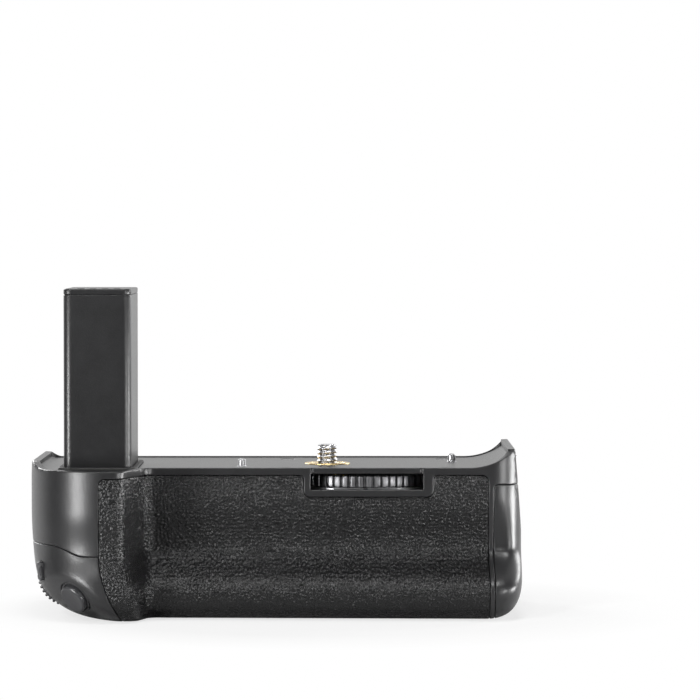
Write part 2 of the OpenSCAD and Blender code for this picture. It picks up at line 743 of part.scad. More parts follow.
// Shutter button on the tilted facet
module shutter_collar() {
    color([0.09, 0.09, 0.1]) aim(shutter_p, shutter_in) difference() {
        union() {
            translate([0, 0, 0.3]) cylinder(r = sleeve_r, h = flange_t - 0.4);
            translate([0, 0, flange_t - 0.5]) cylinder(r = sleeve_r + 0.7, h = shutter_board_t - flange_t + 0.5);
        }
        translate([0, 0, -1]) cylinder(r = shutter_r + button_clear, h = 10);
        translate([0, 0, flange_t - 0.2]) cylinder(r = sleeve_r - 0.05, h = 10);
    }
}
module shutter_switch() {
    color(board_green) aim(shutter_p, shutter_in) {
        translate([0, 0, shutter_board_t]) cylinder(r = sleeve_r + 0.7, h = board_t);
        translate([-2, -2, shutter_board_t - 2.5]) cube([4, 4, 2.5 + sliver]);
    }
}
module shutter_button() {
    color([0.16, 0.16, 0.17]) aim(shutter_p, shutter_in) difference() {
        union() {
            translate([0, 0, -1.3]) cylinder(r1 = shutter_r - 0.5, r2 = shutter_r, h = 0.5);
            translate([0, 0, -0.8]) cylinder(r = shutter_r, h = flange_t + 0.8);
            translate([0, 0, flange_t]) cylinder(r = sleeve_r - 0.25, h = 0.9);
            translate([0, 0, flange_t + 0.8])
                cylinder(r = 1.5, h = shutter_board_t - 2.6 - shutter_travel - flange_t - 0.8);
        }
        translate([0, 0, -26]) sphere(r = 25, $fn = 96);
    }
}
module shutter_spring() {
    color(steel) aim(shutter_p, shutter_in) translate([0, 0, flange_t + 0.95])
        coil(shutter_r - 0.5, 0.25, 4, shutter_board_t - flange_t - 1);
}
module function_guide() {
    color([0.09, 0.09, 0.1]) aim(function_p, function_in) difference() {
        translate([0, 0, 4.4]) stadium(2.9, 1.4, 2.5);
        translate([0, 0, 4]) stadium(2.2, 1.4, 2.1);
    }
}
module function_button() {
    color([0.16, 0.16, 0.17]) aim(function_p, function_in) {
        translate([0, 0, -0.9]) stadium(1.5, 1.4, 5);
        translate([0, 0, 4.05]) stadium(2, 1.4, 0.7);
        translate([0, 0, 4.7]) cylinder(r = 0.9, h = 1.3 - button_travel);
    }
}

// Control dial at the lower corner
module dial_cradle() {
    color([0.1, 0.1, 0.11]) difference() {
        sculpted() intersection() {
            cavity(wall + 0.15);
            union() {
                block(left_x, bay_left - 0.3, dial_y0 - 2, dial_y0 - 0.7, 0, dial_z + 8);
                block(left_x, bay_left - 0.3, dial_y0 + dial_w + 0.7, dial_y0 + dial_w + 2, 0, dial_z + 8);
            }
        }
        along_y(dial_x, dial_y0 - 4, dial_z) cylinder(r = axle_r + 0.01, h = dial_w + 8);
    }
}
module dial_axle() {
    color(steel) along_y(dial_x, dial_y0 - 2.6, dial_z) cylinder(r = axle_r, h = dial_w + 5.2);
}
module control_dial() {
    color([0.14, 0.14, 0.15]) along_y(dial_x, dial_y0, dial_z) difference() {
        linear_extrude(dial_w) polygon(knurl_points(dial_ribs, dial_r, 0.5));
        translate([0, 0, -1]) cylinder(r = axle_r + turn_clear, h = dial_w + 2);
    }
}

// Rear controls
module rear_button(z) {
    along_y(rear_x, inner_back - 1.9, z) {
        cylinder(r = rear_button_r, h = wall + 2.3);
        translate([0, 0, wall + 2.3 - sliver]) cylinder(r1 = rear_button_r, r2 = rear_button_r - 0.4, h = 0.4);
        translate([0, 0, -0.6]) cylinder(r = rear_button_r + 0.5, h = 1.8);
    }
}
module focus_start_button() {
    color([0.16, 0.16, 0.17]) rear_button(rear_z[0]);
}
module exposure_lock_button() {
    color([0.16, 0.16, 0.17]) rear_button(rear_z[1]);
}
module focus_point_button() {
    color([0.16, 0.16, 0.17]) rear_button(rear_z[2]);
}
module joystick_bezel() {
    color([0.1, 0.1, 0.11]) along_y(stick_x, inner_back - 0.3, stick_z) tube(4.65, 3.9, wall + 0.6);
}
module joystick_base() {
    color([0.1, 0.1, 0.11]) difference() {
        along_y(stick_x, board_y + board_t, stick_z) tube(4.5, 3.9, inner_back - 0.3 - board_y - board_t);
        along_x(stick_x - 8, stick_y, stick_z) cylinder(r = 0.5, h = 16);
    }
}
module joystick_gimbal() {
    color(grey) difference() {
        union() {
            along_y(stick_x, stick_y - 0.8, stick_z) tube(3.3, 2.5, 1.6);
            for (s = [0, 1]) {
                along_x(stick_x + (s == 0 ? -4.3 : 2.6), stick_y, stick_z) cylinder(r = 0.45, h = 1.7);
            }
        }
        translate([stick_x, stick_y, stick_z - 8]) cylinder(r = 0.5, h = 16);
    }
}
module joystick_cap() {
    color([0.16, 0.16, 0.17]) {
        along_y(stick_x, stick_y - 0.7, stick_z) cylinder(r = 1.6, h = 1.4);
        along_y(stick_x, stick_y, stick_z) cylinder(r = 1.1, h = wall + 3.6);
        translate([stick_x, stick_y, stick_z - 3.2]) cylinder(r = 0.45, h = 6.4);
        difference() {
            along_y(stick_x, back_y + 0.8, stick_z) cylinder(r = 2.7, h = 1.4);
            along_y(stick_x, back_y + 11.6, stick_z) sphere(r = 10, $fn = 96);
        }
    }
}
module area_lever() {
    color([0.16, 0.16, 0.17]) {
        along_y(stick_x, inner_back - 1.3, lever_z) cylinder(r = 1.5, h = wall + 2.3);
        along_y(stick_x, inner_back - 1.7, lever_z) cylinder(r = 2.6, h = 1.3);
        along_y(stick_x, back_y + 0.2, lever_z) cylinder(r = 3.4, h = 1);
        block(stick_x - 1, stick_x + 1, back_y + 0.2, back_y + 1.8, lever_z + 1, lever_z + 6);
    }
}
module power_switch() {
    color([0.16, 0.16, 0.17]) {
        block(switch_x - 2.4, switch_x + 2.4, bay_back + 1.5, back_y + 1, switch_z - 1.5, switch_z + 1.5);
        block(switch_x - 4.6, switch_x + 4.6, bay_back + 0.5, inner_back - 0.3, switch_z - 3, switch_z + 3);
    }
}

// Fasteners
module case_screws() {
    color(steel) {
        for (x = feet_x, y = feet_y) {
            translate([x, y, 0.2]) screw(1, 2.1, 0.95, 4.6);
        }
        post_spots() translate([0, 0, plate_top - 0.15]) mirror([0, 0, 1]) screw(1, 2.1, 0.9, 5);
    }
}

// Magazine that draws out of the right end
module magazine_tray() {
    pocket_l = battery_l + 2 * pack_clear;
    color([0.16, 0.16, 0.17]) difference() {
        union() {
            block(tray_left, tray_right, tray_y0, tray_y0 + tray_w, tray_z0, tray_z0 + tray_h);
            block(tray_right - 1.6, tray_right, tray_y0 - 0.5, tray_y0 + tray_w + 0.4, tray_z0, bay_top + 1);
        }
        for (i = [0, 1]) {
            translate([tray_left + tray_rib + i * (pocket_l + tray_rib), tray_y0 + tray_wall, tray_z0 + tray_floor])
                cube([pocket_l, tray_w - 2 * tray_wall, battery_t + 2 * pack_clear]);
            translate([tray_left + tray_rib + i * (pocket_l + tray_rib), tray_y0 + tray_wall, tray_z0 + tray_floor])
                cube([pocket_l * 0.4, tray_w - 2 * tray_wall, 40]);
            translate([tray_left + tray_rib + i * (pocket_l + tray_rib) + pocket_l * 0.6,
                tray_y0 + tray_wall, tray_z0 + tray_floor])
                cube([pocket_l * 0.4, tray_w - 2 * tray_wall, 40]);
        }
    }
}
module magazine_cap() {
    color(black) difference() {
        sculpted() difference() {
            intersection() {
                skin();
                block(seam_x + seam_gap, right_x + 5, -80, 60, -5, cap_top - seam_gap);
            }
            intersection() {
                skin(wall + 0.2, 0, fine_x, rough_z);
                block(seam_x - 5, tray_right + sliver, -80, 60, -5, cap_top - 2.6);
            }
        }
        along_x(knob_x - 0.15, knob_y, knob_z) cylinder(r = knob_r + 0.3, h = 10);
        along_x(tray_right - 1, knob_y, knob_z) cylinder(r = 2 + turn_clear, h = 10);
    }
}
module battery(x) {
    translate([x + battery_l / 2, bay_y, tray_z0 + tray_floor + pack_clear])
        linear_extrude(battery_t) rounded(battery_l, battery_w, 1.5);
}
module battery_inner() {
    color([0.2, 0.2, 0.22]) battery(tray_left + tray_rib + pack_clear);
}
module battery_outer() {
    color([0.2, 0.2, 0.22]) battery(tray_left + 2 * tray_rib + 3 * pack_clear + battery_l);
}
module magazine_contacts() {
    color(gold) for (i = [-1, 0, 1]) {
        block(tray_left - 0.45, tray_left, bay_y + i * 8 - 2, bay_y + i * 8 + 2, bay_mid_z - 5, bay_mid_z + 5);
    }
}
module lock_knob() {
    color([0.15, 0.15, 0.16]) difference() {
        union() {
            along_x(knob_x, knob_y, knob_z) cylinder(r = knob_r, h = 2.6);
            along_x(tray_right + 0.2, knob_y, knob_z) cylinder(r = 2, h = knob_x - tray_right);
        }
        difference() {
            along_x(knob_x + 1, knob_y, knob_z) tube(7.7, 5.3, 5);
            block(knob_x - 5, knob_x + 10, knob_y - 20, knob_y + 20, knob_z + 0.9, knob_z + 20);
        }
        along_y(knob_x + 1.75, knob_y - 8.2, knob_z) cylinder(r = 0.5 + turn_clear, h = 16.4);
    }
}
module lock_bail() {
    color(grey) {
        difference() {
            along_x(knob_x + 1.15, knob_y, knob_z) tube(7.3, 5.7, 1.2);
            block(knob_x - 5, knob_x + 10, knob_y - 20, knob_y + 20, knob_z, knob_z + 20);
        }
        for (s = [-1, 1]) {
            along_y(knob_x + 1.75, knob_y + s * 6.5 - 0.7, knob_z) cylinder(r = 0.6, h = 1.4);
            along_y(knob_x + 1.75, knob_y + s * 6.8 - 1.2, knob_z) cylinder(r = 0.5, h = 2.4);
        }
    }
}

front_shell();
rear_shell();
control_pod();
top_plate();
front_rubber();
rear_rubber();
battery_bay();
bay_seal();
bay_contacts();
tripod_plate();
tripod_socket();
tower_shell();
tower_cap();
tower_contacts();
tower_gasket();
tower_board();
locating_pins();
clamp_frame();
screw_bush();
main_board();
rear_board();
shutter_collar();
shutter_switch();
function_guide();
dial_cradle();
dial_axle();
joystick_bezel();
joystick_base();
case_screws();
clamp_wheel();
screw_pinion();
camera_screw();
screw_spring();
shutter_button();
shutter_spring();
function_button();
control_dial();
power_switch();
focus_start_button();
exposure_lock_button();
focus_point_button();
joystick_gimbal();
joystick_cap();
area_lever();
magazine_tray();
magazine_cap();
battery_inner();
battery_outer();
magazine_contacts();
lock_knob();
lock_bail();
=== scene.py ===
import json
import math
import bmesh
import bpy
import numpy as np
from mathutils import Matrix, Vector
from mathutils.geometry import delaunay_2d_cdt


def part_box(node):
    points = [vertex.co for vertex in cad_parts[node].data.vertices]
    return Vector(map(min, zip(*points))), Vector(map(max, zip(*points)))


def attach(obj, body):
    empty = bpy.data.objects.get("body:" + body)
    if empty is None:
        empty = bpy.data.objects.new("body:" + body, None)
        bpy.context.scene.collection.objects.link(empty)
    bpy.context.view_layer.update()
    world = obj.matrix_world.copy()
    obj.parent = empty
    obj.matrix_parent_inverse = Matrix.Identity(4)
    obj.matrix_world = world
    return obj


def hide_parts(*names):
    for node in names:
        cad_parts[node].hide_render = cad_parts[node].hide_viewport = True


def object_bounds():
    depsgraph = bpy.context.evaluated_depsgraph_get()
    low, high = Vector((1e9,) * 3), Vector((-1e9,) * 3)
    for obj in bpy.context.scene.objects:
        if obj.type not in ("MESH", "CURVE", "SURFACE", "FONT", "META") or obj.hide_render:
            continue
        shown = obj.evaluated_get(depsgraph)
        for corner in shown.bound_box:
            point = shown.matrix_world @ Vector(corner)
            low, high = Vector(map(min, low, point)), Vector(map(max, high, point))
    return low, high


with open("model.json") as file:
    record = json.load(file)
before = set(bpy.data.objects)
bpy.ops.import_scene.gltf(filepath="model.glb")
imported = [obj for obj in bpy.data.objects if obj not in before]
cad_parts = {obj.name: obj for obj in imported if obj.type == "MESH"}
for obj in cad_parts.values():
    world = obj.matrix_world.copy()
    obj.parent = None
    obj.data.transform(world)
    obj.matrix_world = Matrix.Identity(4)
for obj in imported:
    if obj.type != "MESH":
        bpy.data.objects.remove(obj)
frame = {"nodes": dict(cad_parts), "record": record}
cadLow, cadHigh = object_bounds()
nodes = frame["nodes"]
record = frame["record"]
bodyOf = {n: b for b, group in record["behaviour"]["bodies"].items() for n in group}
slotOf = {p["node"]: p["material_slot"] for p in record["subparts"]}
mm = 0.001
scene = bpy.context.scene
print("frame loaded,", len(nodes), "nodes")


# form of the grip's skin, in millimetres, as the solids have it
grip = {
    "leftX": -90.2, "rightX": 59.1, "seamX": 50.4, "topZ": 45.3, "capTop": 40.3,
    "frontY": -26.0, "gripFrontY": -45.0, "backY": 33.0, "splitY": 8.0, "wall": 2.2,
    "noseX": -64.0, "noseEndY": -8.0, "noseRun": 26.2, "nosePower": 2.3,
    "frontRound": 9.0, "backRound": 5.0, "bottomSpan": 52.0,
    "leftLip": 5.3, "leftSlope": 8.0, "rightLip": 20.3, "rightSlope": 12.0,
    # start and radius of the seat's dished ends
    "leftBowl": (-84.5, 7.0), "rightBowl": (43.0, 20.3),
    # start, run, rise and power of the base's rolled ends
    "leftRoll": (-62.0, 28.2, 32, 3), "rightRoll": (47.0, 12.1, 13, 2.6),
    # run, depth and power of the turns into the ends
    "frontTurn": (9, 10, 2.2), "backTurn": (9, 9, 2.2), "backTurnLeft": (8, 12, 2),
    # start, height and radius of the flank beside the nose, high and low on the grip
    "flankHigh": (-63.2, 19, 3.6), "flankLow": (-59.6, 10.6, 3.6), "flankLean": 72,
    "bulge": 8, "bulgeGrow": 4, "bulgeZ": 21, "bulgeRun": 12,
}
hollow = {  # groove for the fingers: it starts behind the nose and fades out on the cap
    "deep": 3.5, "z": 21.0, "below": 10.0, "above": 12.5, "widen": 3.5, "share": 0.55, "run": 14,
    "capFade": 0.65, "capX": 50.6, "capRun": 6,
}
facet = {"p": (-75.2, -38.36, 7.2), "inward": (0.608, 0.618, 0.498), "soft": 2}
arcFront = grip["frontRound"] * math.pi / 2
arcBack = grip["backRound"] * math.pi / 2
span = grip["bottomSpan"]


def smooth(t):
    c = np.clip(t, 0, 1)
    return c * c * (3 - 2 * c)


def corner(u, p):
    return 1 - (1 - np.clip(u, 0, 1) ** p) ** (1 / p)


def cradle(d, r):
    d = np.clip(d, 0, r)
    return r - np.sqrt(r * r - d * d)


def topAt(x):
    g = grip
    (x0, r0), (x1, r1) = g["leftBowl"], g["rightBowl"]
    bowl = g["topZ"] + cradle(x - x1, r1) + cradle(x0 - x, r0)
    right = g["topZ"] - g["rightLip"] + (g["rightX"] - x) * g["rightSlope"]
    left = g["topZ"] - g["leftLip"] + (x - g["leftX"]) * g["leftSlope"]
    return np.minimum(np.minimum(bowl, right), left)


def bottomAt(x):
    (x0, run0, rise0, p0), (x1, run1, rise1, p1) = grip["leftRoll"], grip["rightRoll"]
    return rise0 * corner((x0 - x) / run0, p0) + rise1 * corner((x - x1) / run1, p1)


def flank(x, start, high, r):
    # a rounded shoulder, a straight flank and a rounded hollow, both of radius r
    a = math.radians(grip["flankLean"])
    dx, dy = r * math.sin(a), r * (1 - math.cos(a))
    run = (high - 2 * dy) / math.tan(a)
    t = np.clip(x - start, 0, 2 * dx + run)
    first = r - np.sqrt(np.maximum(r * r - np.minimum(t, dx) ** 2, 0))
    last = high - r + np.sqrt(np.maximum(r * r - np.minimum(2 * dx + run - t, dx) ** 2, 0))
    return np.where(t < dx, first, np.where(t > dx + run, last, dy + (t - dx) * math.tan(a)))


def rightTurn(x, turn):
    run, deep, power = turn
    return deep * corner((x - grip["rightX"] + run) / run, power)


def planHigh(x):
    g = grip
    y = g["gripFrontY"]
    nose = g["noseEndY"] + (y - g["noseEndY"]) * (1 - corner((g["noseX"] - x) / g["noseRun"], g["nosePower"]))
    return np.where(x < g["noseX"], nose, y + flank(x, *g["flankHigh"]) + rightTurn(x, g["frontTurn"]))


def planLow(x):
    g = grip
    y, high = g["gripFrontY"], g["flankLow"][1]
    bulge = g["frontY"] - g["bulge"] - g["bulgeGrow"] * (x - g["noseX"]) / (g["rightX"] - g["noseX"])
    return np.where(x < g["noseX"], planHigh(x),
                    y + (bulge - y) * flank(x, *g["flankLow"]) / high + rightTurn(x, g["frontTurn"]))


def frontAt(x, z):
    g, h = grip, hollow
    w = smooth((g["bulgeZ"] - z) / g["bulgeRun"])
    grown = smooth((x - g["noseX"]) / h["run"])
    reach = np.where(z > h["z"], h["above"] + h["widen"] * grown, h["below"])
    deep = h["deep"] * (h["share"] + (1 - h["share"]) * grown)
    fade = 1 - h["capFade"] * smooth((x - h["capX"]) / h["capRun"])
    groove = deep * fade * smooth(1 - np.abs(z - h["z"]) / reach)
    a = planHigh(x) * (1 - w) + planLow(x) * w + groove
    p, n, soft = facet["p"], facet["inward"], facet["soft"]
    b = p[1] - (n[0] * (x - p[0]) + n[2] * (z - p[2])) / n[1]
    m = np.clip(0.5 + 0.5 * (a - b) / soft, 0, 1)
    return b * (1 - m) + a * m + soft * m * (1 - m)


def backAt(x):
    run, deep, power = grip["backTurnLeft"]
    left = deep * corner((grip["leftX"] + run - x) / run, power)
    return grip["backY"] - left - rightTurn(x, grip["backTurn"])


# u runs along the grip by length of surface, s runs down the front, under the base and up the back
halfTurn = np.linspace(0, math.pi, 6001)
xTable = (grip["leftX"] + grip["rightX"]) / 2 - (grip["rightX"] - grip["leftX"]) / 2 * np.cos(halfTurn)
planTable = (planHigh(xTable) + planLow(xTable)) / 2
uTable = np.concatenate([[0], np.cumsum(np.hypot(
    np.diff(xTable), np.maximum(np.abs(np.diff(planTable)), np.abs(np.diff(bottomAt(xTable))))))])
uEnd = uTable[-1]


def uOf(x):
    return np.interp(x, xTable, uTable)


def frontChart(x, z):
    x, z = np.broadcast_arrays(np.asarray(x, float), np.asarray(z, float))
    rise, r = z - bottomAt(x), grip["frontRound"]
    s = np.where(rise >= r, -arcFront - (rise - r), -r * np.arccos(np.clip(1 - rise / r, -1, 1)))
    return np.stack([uOf(x), s], -1)


def bottomChart(x, y):
    x, y = np.broadcast_arrays(np.asarray(x, float), np.asarray(y, float))
    near = frontAt(x, bottomAt(x)) + grip["frontRound"]
    far = backAt(x) - grip["backRound"]
    return np.stack([uOf(x), span * (y - near) / (far - near)], -1)


def backChart(x, z):
    x, z = np.broadcast_arrays(np.asarray(x, float), np.asarray(z, float))
    rise, r = z - bottomAt(x), grip["backRound"]
    s = np.where(rise >= r, arcBack + rise - r, r * np.arccos(np.clip(1 - rise / r, -1, 1)))
    return np.stack([uOf(x), span + s], -1)


def skinPoint(c):
    u, s = c[:, 0], c[:, 1]
    rf, rb = grip["frontRound"], grip["backRound"]
    x = np.interp(u, uTable, xTable)
    low = bottomAt(x)
    t = np.maximum(-s, 0)
    turn = np.clip(t / rf, 0, math.pi / 2)
    zf = low + np.where(t > arcFront, rf + t - arcFront, rf * (1 - np.cos(turn)))
    yf = frontAt(x, zf) + rf * (1 - np.sin(turn))
    near, far = frontAt(x, low) + rf, backAt(x) - rb
    t = np.maximum(s - span, 0)
    turn = np.clip(t / rb, 0, math.pi / 2)
    zb = low + np.where(t > arcBack, rb + t - arcBack, rb * (1 - np.cos(turn)))
    yb = backAt(x) - rb * (1 - np.sin(turn))
    yu = near + np.clip(s / span, 0, 1) * (far - near)
    y = np.where(s < 0, yf, np.where(s > span, yb, yu))
    z = np.where(s < 0, zf, np.where(s > span, zb, low))
    return np.stack([x, y, z], -1)


def skinNormal(c):
    e = 0.03
    lo, hi = c.copy(), c.copy()
    lo[:, 0], hi[:, 0] = np.maximum(lo[:, 0] - e, 0), np.minimum(hi[:, 0] + e, uEnd)
    du = skinPoint(hi) - skinPoint(lo)
    ds = skinPoint(c + (0, e)) - skinPoint(c - (0, e))
    n = np.cross(ds, du)
    return n / np.maximum(np.linalg.norm(n, axis=1), 1e-9)[:, None]


# outlines
def roundedPath(corners, closed=True, chord=0.22):
    pts, n = [], len(corners)
    for i, (a, b, r) in enumerate(corners):
        p = np.array((a, b), float)
        if r <= 0 or (not closed and i in (0, n - 1)):
            pts.append(p)
            continue
        q0 = np.array(corners[i - 1][:2], float) - p
        q1 = np.array(corners[(i + 1) % n][:2], float) - p
        l0, l1 = np.linalg.norm(q0), np.linalg.norm(q1)
        d0, d1 = q0 / l0, q1 / l1
        half = math.acos(float(np.clip(d0 @ d1, -1, 1))) / 2
        cut = min(r / math.tan(half), 0.49 * l0, 0.49 * l1)
        rr = cut * math.tan(half)
        middle = p + (d0 + d1) / np.linalg.norm(d0 + d1) * rr / math.sin(half)
        a0, a1 = p + d0 * cut - middle, p + d1 * cut - middle
        turn = math.atan2(a0[0] * a1[1] - a0[1] * a1[0], float(a0 @ a1))
        steps = max(3, int(abs(turn) * rr / chord) + 1)
        for k in range(steps + 1):
            c, s = math.cos(turn * k / steps), math.sin(turn * k / steps)
            pts.append(middle + (a0[0] * c - a0[1] * s, a0[0] * s + a0[1] * c))
    return np.array(pts)


def densify(pts, step, closed=True):
    out, n = [], len(pts)
    for i in range(n if closed else n - 1):
        a, b = pts[i], pts[(i + 1) % n]
        k = max(1, math.ceil(np.linalg.norm(b - a) / step))
        out += [a + (b - a) * j / k for j in range(k)]
    if not closed:
        out.append(pts[-1])
    return np.array(out)


def circlePath(cx, cy, r, count=64):
    t = np.arange(count) * 2 * math.pi / count
    return np.stack([cx + r * np.cos(t), cy + r * np.sin(t)], -1)


def rectPath(cx, cy, w, h, r):
    a, b = w / 2, h / 2
    corners = [(cx - a, cy - b, r), (cx + a, cy - b, r), (cx + a, cy + b, r), (cx - a, cy + b, r)]
    return densify(roundedPath(corners), 0.8)


def lineUp(a, b, step):
    n = max(2, int(math.ceil(np.abs(b - a) / step)) + 1)
    return np.linspace(a, b, n)


def joinParts(parts):
    # parts are (points, plain): plain stretches are shared with another sheet and keep a square edge
    pts, plain = [], []
    for i, (p, flat) in enumerate(parts):
        following = parts[(i + 1) % len(parts)][0][0]
        keep = p[:-1] if np.linalg.norm(p[-1] - following) < 1e-6 else p
        pts.append(keep)
        plain += [flat] * (len(keep) - 1) + [flat if len(keep) < len(p) else False]
    return np.concatenate(pts), np.array(plain)


def segDistance(p, segs):
    best = np.full(len(p), 1e9)
    for k in range(0, len(segs), 160):
        a = segs[k:k + 160, :2]
        d = segs[k:k + 160, 2:] - a
        wx, wy = p[:, :1] - a[:, 0], p[:, 1:] - a[:, 1]
        t = np.clip((wx * d[:, 0] + wy * d[:, 1]) / np.maximum((d * d).sum(1), 1e-12), 0, 1)
        best = np.minimum(best, np.hypot(wx - t * d[:, 0], wy - t * d[:, 1]).min(1))
    return best


def insideLoops(p, loops):
    inside = np.zeros(len(p), bool)
    for loop in loops:
        a, b = loop, np.roll(loop, -1, 0)
        for k in range(0, len(a), 160):
            a1, b1 = a[k:k + 160], b[k:k + 160]
            dy = b1[:, 1] - a1[:, 1]
            dy = np.where(dy == 0, 1e-12, dy)
            hit = (a1[:, 1] > p[:, 1:]) != (b1[:, 1] > p[:, 1:])
            xs = a1[:, 0] + (p[:, 1:] - a1[:, 1]) * (b1[:, 0] - a1[:, 0]) / dy
            inside ^= (np.count_nonzero(hit & (p[:, :1] < xs), axis=1) % 2).astype(bool)
    return inside


def loopArea(p):
    q = np.roll(p, -1, 0)
    return 0.5 * float((p[:, 0] * q[:, 1] - q[:, 0] * p[:, 1]).sum())


def ringNormals(p):
    back, on = p - np.roll(p, 1, 0), np.roll(p, -1, 0) - p
    back /= np.maximum(np.linalg.norm(back, axis=1), 1e-9)[:, None]
    on /= np.maximum(np.linalg.norm(on, axis=1), 1e-9)[:, None]
    t = back + on
    t /= np.maximum(np.linalg.norm(t, axis=1), 1e-9)[:, None]
    stretch = np.minimum(1 / np.maximum((t * on).sum(1), 0.3), 1.6)
    return np.stack([-t[:, 1], t[:, 0]], -1) * stretch[:, None]


def edgeRound(d, r):
    d = np.minimum(d, r)
    return r - np.sqrt(np.maximum(r * r - (r - d) ** 2, 0))


def makeSheet(loops, step, radius, plain=None, pockets=()):
    # meshes a flat outline with holes; inset says how far each point sinks to round the edges
    loops = [np.array(l, float) for l in loops]
    plain = [np.zeros(len(l), bool) if i or plain is None else np.array(plain) for i, l in enumerate(loops)]
    for i, l in enumerate(loops):
        if (loopArea(l) < 0) != (i > 0):
            loops[i] = l[::-1]
            if plain[i].any():
                raise ValueError("a shared outline has to run counterclockwise")
    dents = [np.array(shape, float) for shape, depth in pockets]
    dents = [d if loopArea(d) > 0 else d[::-1] for d in dents]
    pts, edges, segs, walls = [], [], [], []
    count = 0
    for l, flat in zip(loops + dents, plain + [np.zeros(len(d), bool) for d in dents]):
        n = len(l)
        pts.append(l)
        edges += [(count + i, count + (i + 1) % n) for i in range(n)]
        both = np.concatenate([l, np.roll(l, -1, 0)], 1)
        segs.append(both[~flat])
        walls.append(both)
        count += n
    fixed = count
    segs, walls = np.concatenate(segs), np.concatenate(walls)
    ringAt = [0.1 * radius, 0.36 * radius, 0.7 * radius, 1.05 * radius]
    for l, flat in zip(loops, plain):
        n = ringNormals(l)
        free = ~(flat | np.roll(flat, 1))
        for d in ringAt:
            cand = (l + n * d)[free]
            pts.append(cand[segDistance(cand, walls) > 0.8 * d])
    for dent in dents:
        n = ringNormals(dent)
        for d in [-0.05] + ringAt:
            cand = dent - n * d
            pts.append(cand[segDistance(cand, walls) > 0.8 * abs(d)])
    lo, hi = loops[0].min(0), loops[0].max(0)
    rows = np.arange(lo[1], hi[1], step * 0.87)
    cols = np.arange(lo[0], hi[0], step)
    grid = np.array([(x + (step / 2 if j % 2 else 0), y) for j, y in enumerate(rows) for x in cols])
    grid = grid[segDistance(grid, walls) > max(1.25 * radius, 0.5 * step)]
    rim = sum(len(p) for p in pts)
    pts = np.concatenate(pts + [grid])
    keep = np.ones(len(pts), bool)
    keep[fixed:] = insideLoops(pts[fixed:], loops)
    numbers = np.flatnonzero(keep)
    result = delaunay_2d_cdt([Vector(p) for p in pts[numbers]], edges, [], 0, 1e-6)
    flatPts = np.array([v[:] for v in result[0]])
    tris = np.array([f[:] for f in result[2]])
    tris = tris[insideLoops(flatPts[tris].mean(1), loops)]
    place = np.full(len(pts), -1)
    isRim = np.zeros(len(flatPts), bool)
    for i, olds in enumerate(result[3]):
        isRim[i] = not olds
        for o in olds:
            place[numbers[o]] = i
            isRim[i] |= numbers[o] < rim
    inset = np.zeros(len(flatPts))
    near = np.flatnonzero(isRim)
    inset[near] = edgeRound(segDistance(flatPts[near], segs), radius)
    for dent, (shape, depth) in zip(dents, pockets):
        onEdge = segDistance(flatPts, np.concatenate([dent, np.roll(dent, -1, 0)], 1)) < 1e-3
        inset[insideLoops(flatPts, [dent]) & ~onEdge] = depth
    return {"flat": flatPts, "tris": tris, "inset": inset, "place": place, "rim": isRim}


def joinSheets(first, others):
    # others are (sheet, points, normals, {sheet index: index in the first})
    sheet = first["sheet"]
    pos, nrm, inset, tris = [first["pos"]], [first["nrm"]], [sheet["inset"]], [sheet["tris"]]
    count = len(first["pos"])
    for sheet, p, n, shared in others:
        index = np.full(len(p), -1)
        for a, b in shared.items():
            index[a] = b
        fresh = np.flatnonzero(index < 0)
        index[fresh] = count + np.arange(len(fresh))
        count += len(fresh)
        pos.append(p[fresh])
        nrm.append(n[fresh])
        inset.append(sheet["inset"][fresh])
        tris.append(index[sheet["tris"]])
    return np.concatenate(pos), np.concatenate(nrm), np.concatenate(inset), np.concatenate(tris)


def thicken(pos, nrm, inset, tris, thick, backInset=None):
    used, tris = np.unique(tris, return_inverse=True)
    tris = tris.reshape(-1, 3)
    pos, nrm, inset = pos[used], nrm[used], inset[used]
    a, b, c = pos[tris[:, 0]], pos[tris[:, 1]], pos[tris[:, 2]]
    wrong = (np.cross(b - a, c - a) * nrm[tris].sum(1)).sum(1) < 0
    tris[wrong] = tris[wrong][:, ::-1]
    n = len(pos)
    outer = pos - nrm * inset[:, None]
    inner = pos - nrm * (thick - (0 if backInset is None else backInset[used][:, None]))
    edge = np.concatenate([tris[:, [0, 1]], tris[:, [1, 2]], tris[:, [2, 0]]])
    key = np.sort(edge, 1)
    _, where, counts = np.unique(key, axis=0, return_index=True, return_counts=True)
    rim = edge[where[counts == 1]]
    sides = np.concatenate([np.stack([rim[:, 1], rim[:, 0], rim[:, 0] + n], 1),
                            np.stack([rim[:, 1], rim[:, 0] + n, rim[:, 1] + n], 1)])
    return np.concatenate([outer, inner]), np.concatenate([tris, tris[:, ::-1] + n, sides])


def addPiece(name, verts, faces, node=None, body="housing", finish=None, slot=None, sharp=40, outward=False):
    mesh = bpy.data.meshes.new(name)
    mesh.from_pydata((np.asarray(verts, float) * mm).tolist(), [], [list(map(int, f)) for f in faces])
    mesh.validate()
    if outward:
        work = bmesh.new()
        work.from_mesh(mesh)
        bmesh.ops.recalc_face_normals(work, faces=work.faces)
        work.to_mesh(mesh)
        work.free()
    mesh.polygons.foreach_set("use_smooth", [True] * len(mesh.polygons))
    mesh.set_sharp_from_angle(angle=math.radians(sharp))
    mesh.update()
    piece = bpy.data.objects.new(name, mesh)
    scene.collection.objects.link(piece)
    if node:
        body, slot = bodyOf[node], slot or slotOf[node]
    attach(piece, body)
    if node:
        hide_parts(node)
    if finish:
        mesh.materials.append(finish)
    return piece


# finishes
def feed(tree, node, sockets):
    # gives each input a number, a colour or another node's output
    for key, value in sockets.items():
        if isinstance(value, bpy.types.NodeSocket):
            tree.links.new(value, node.inputs[key])
        else:
            node.inputs[key].default_value = value
    return node


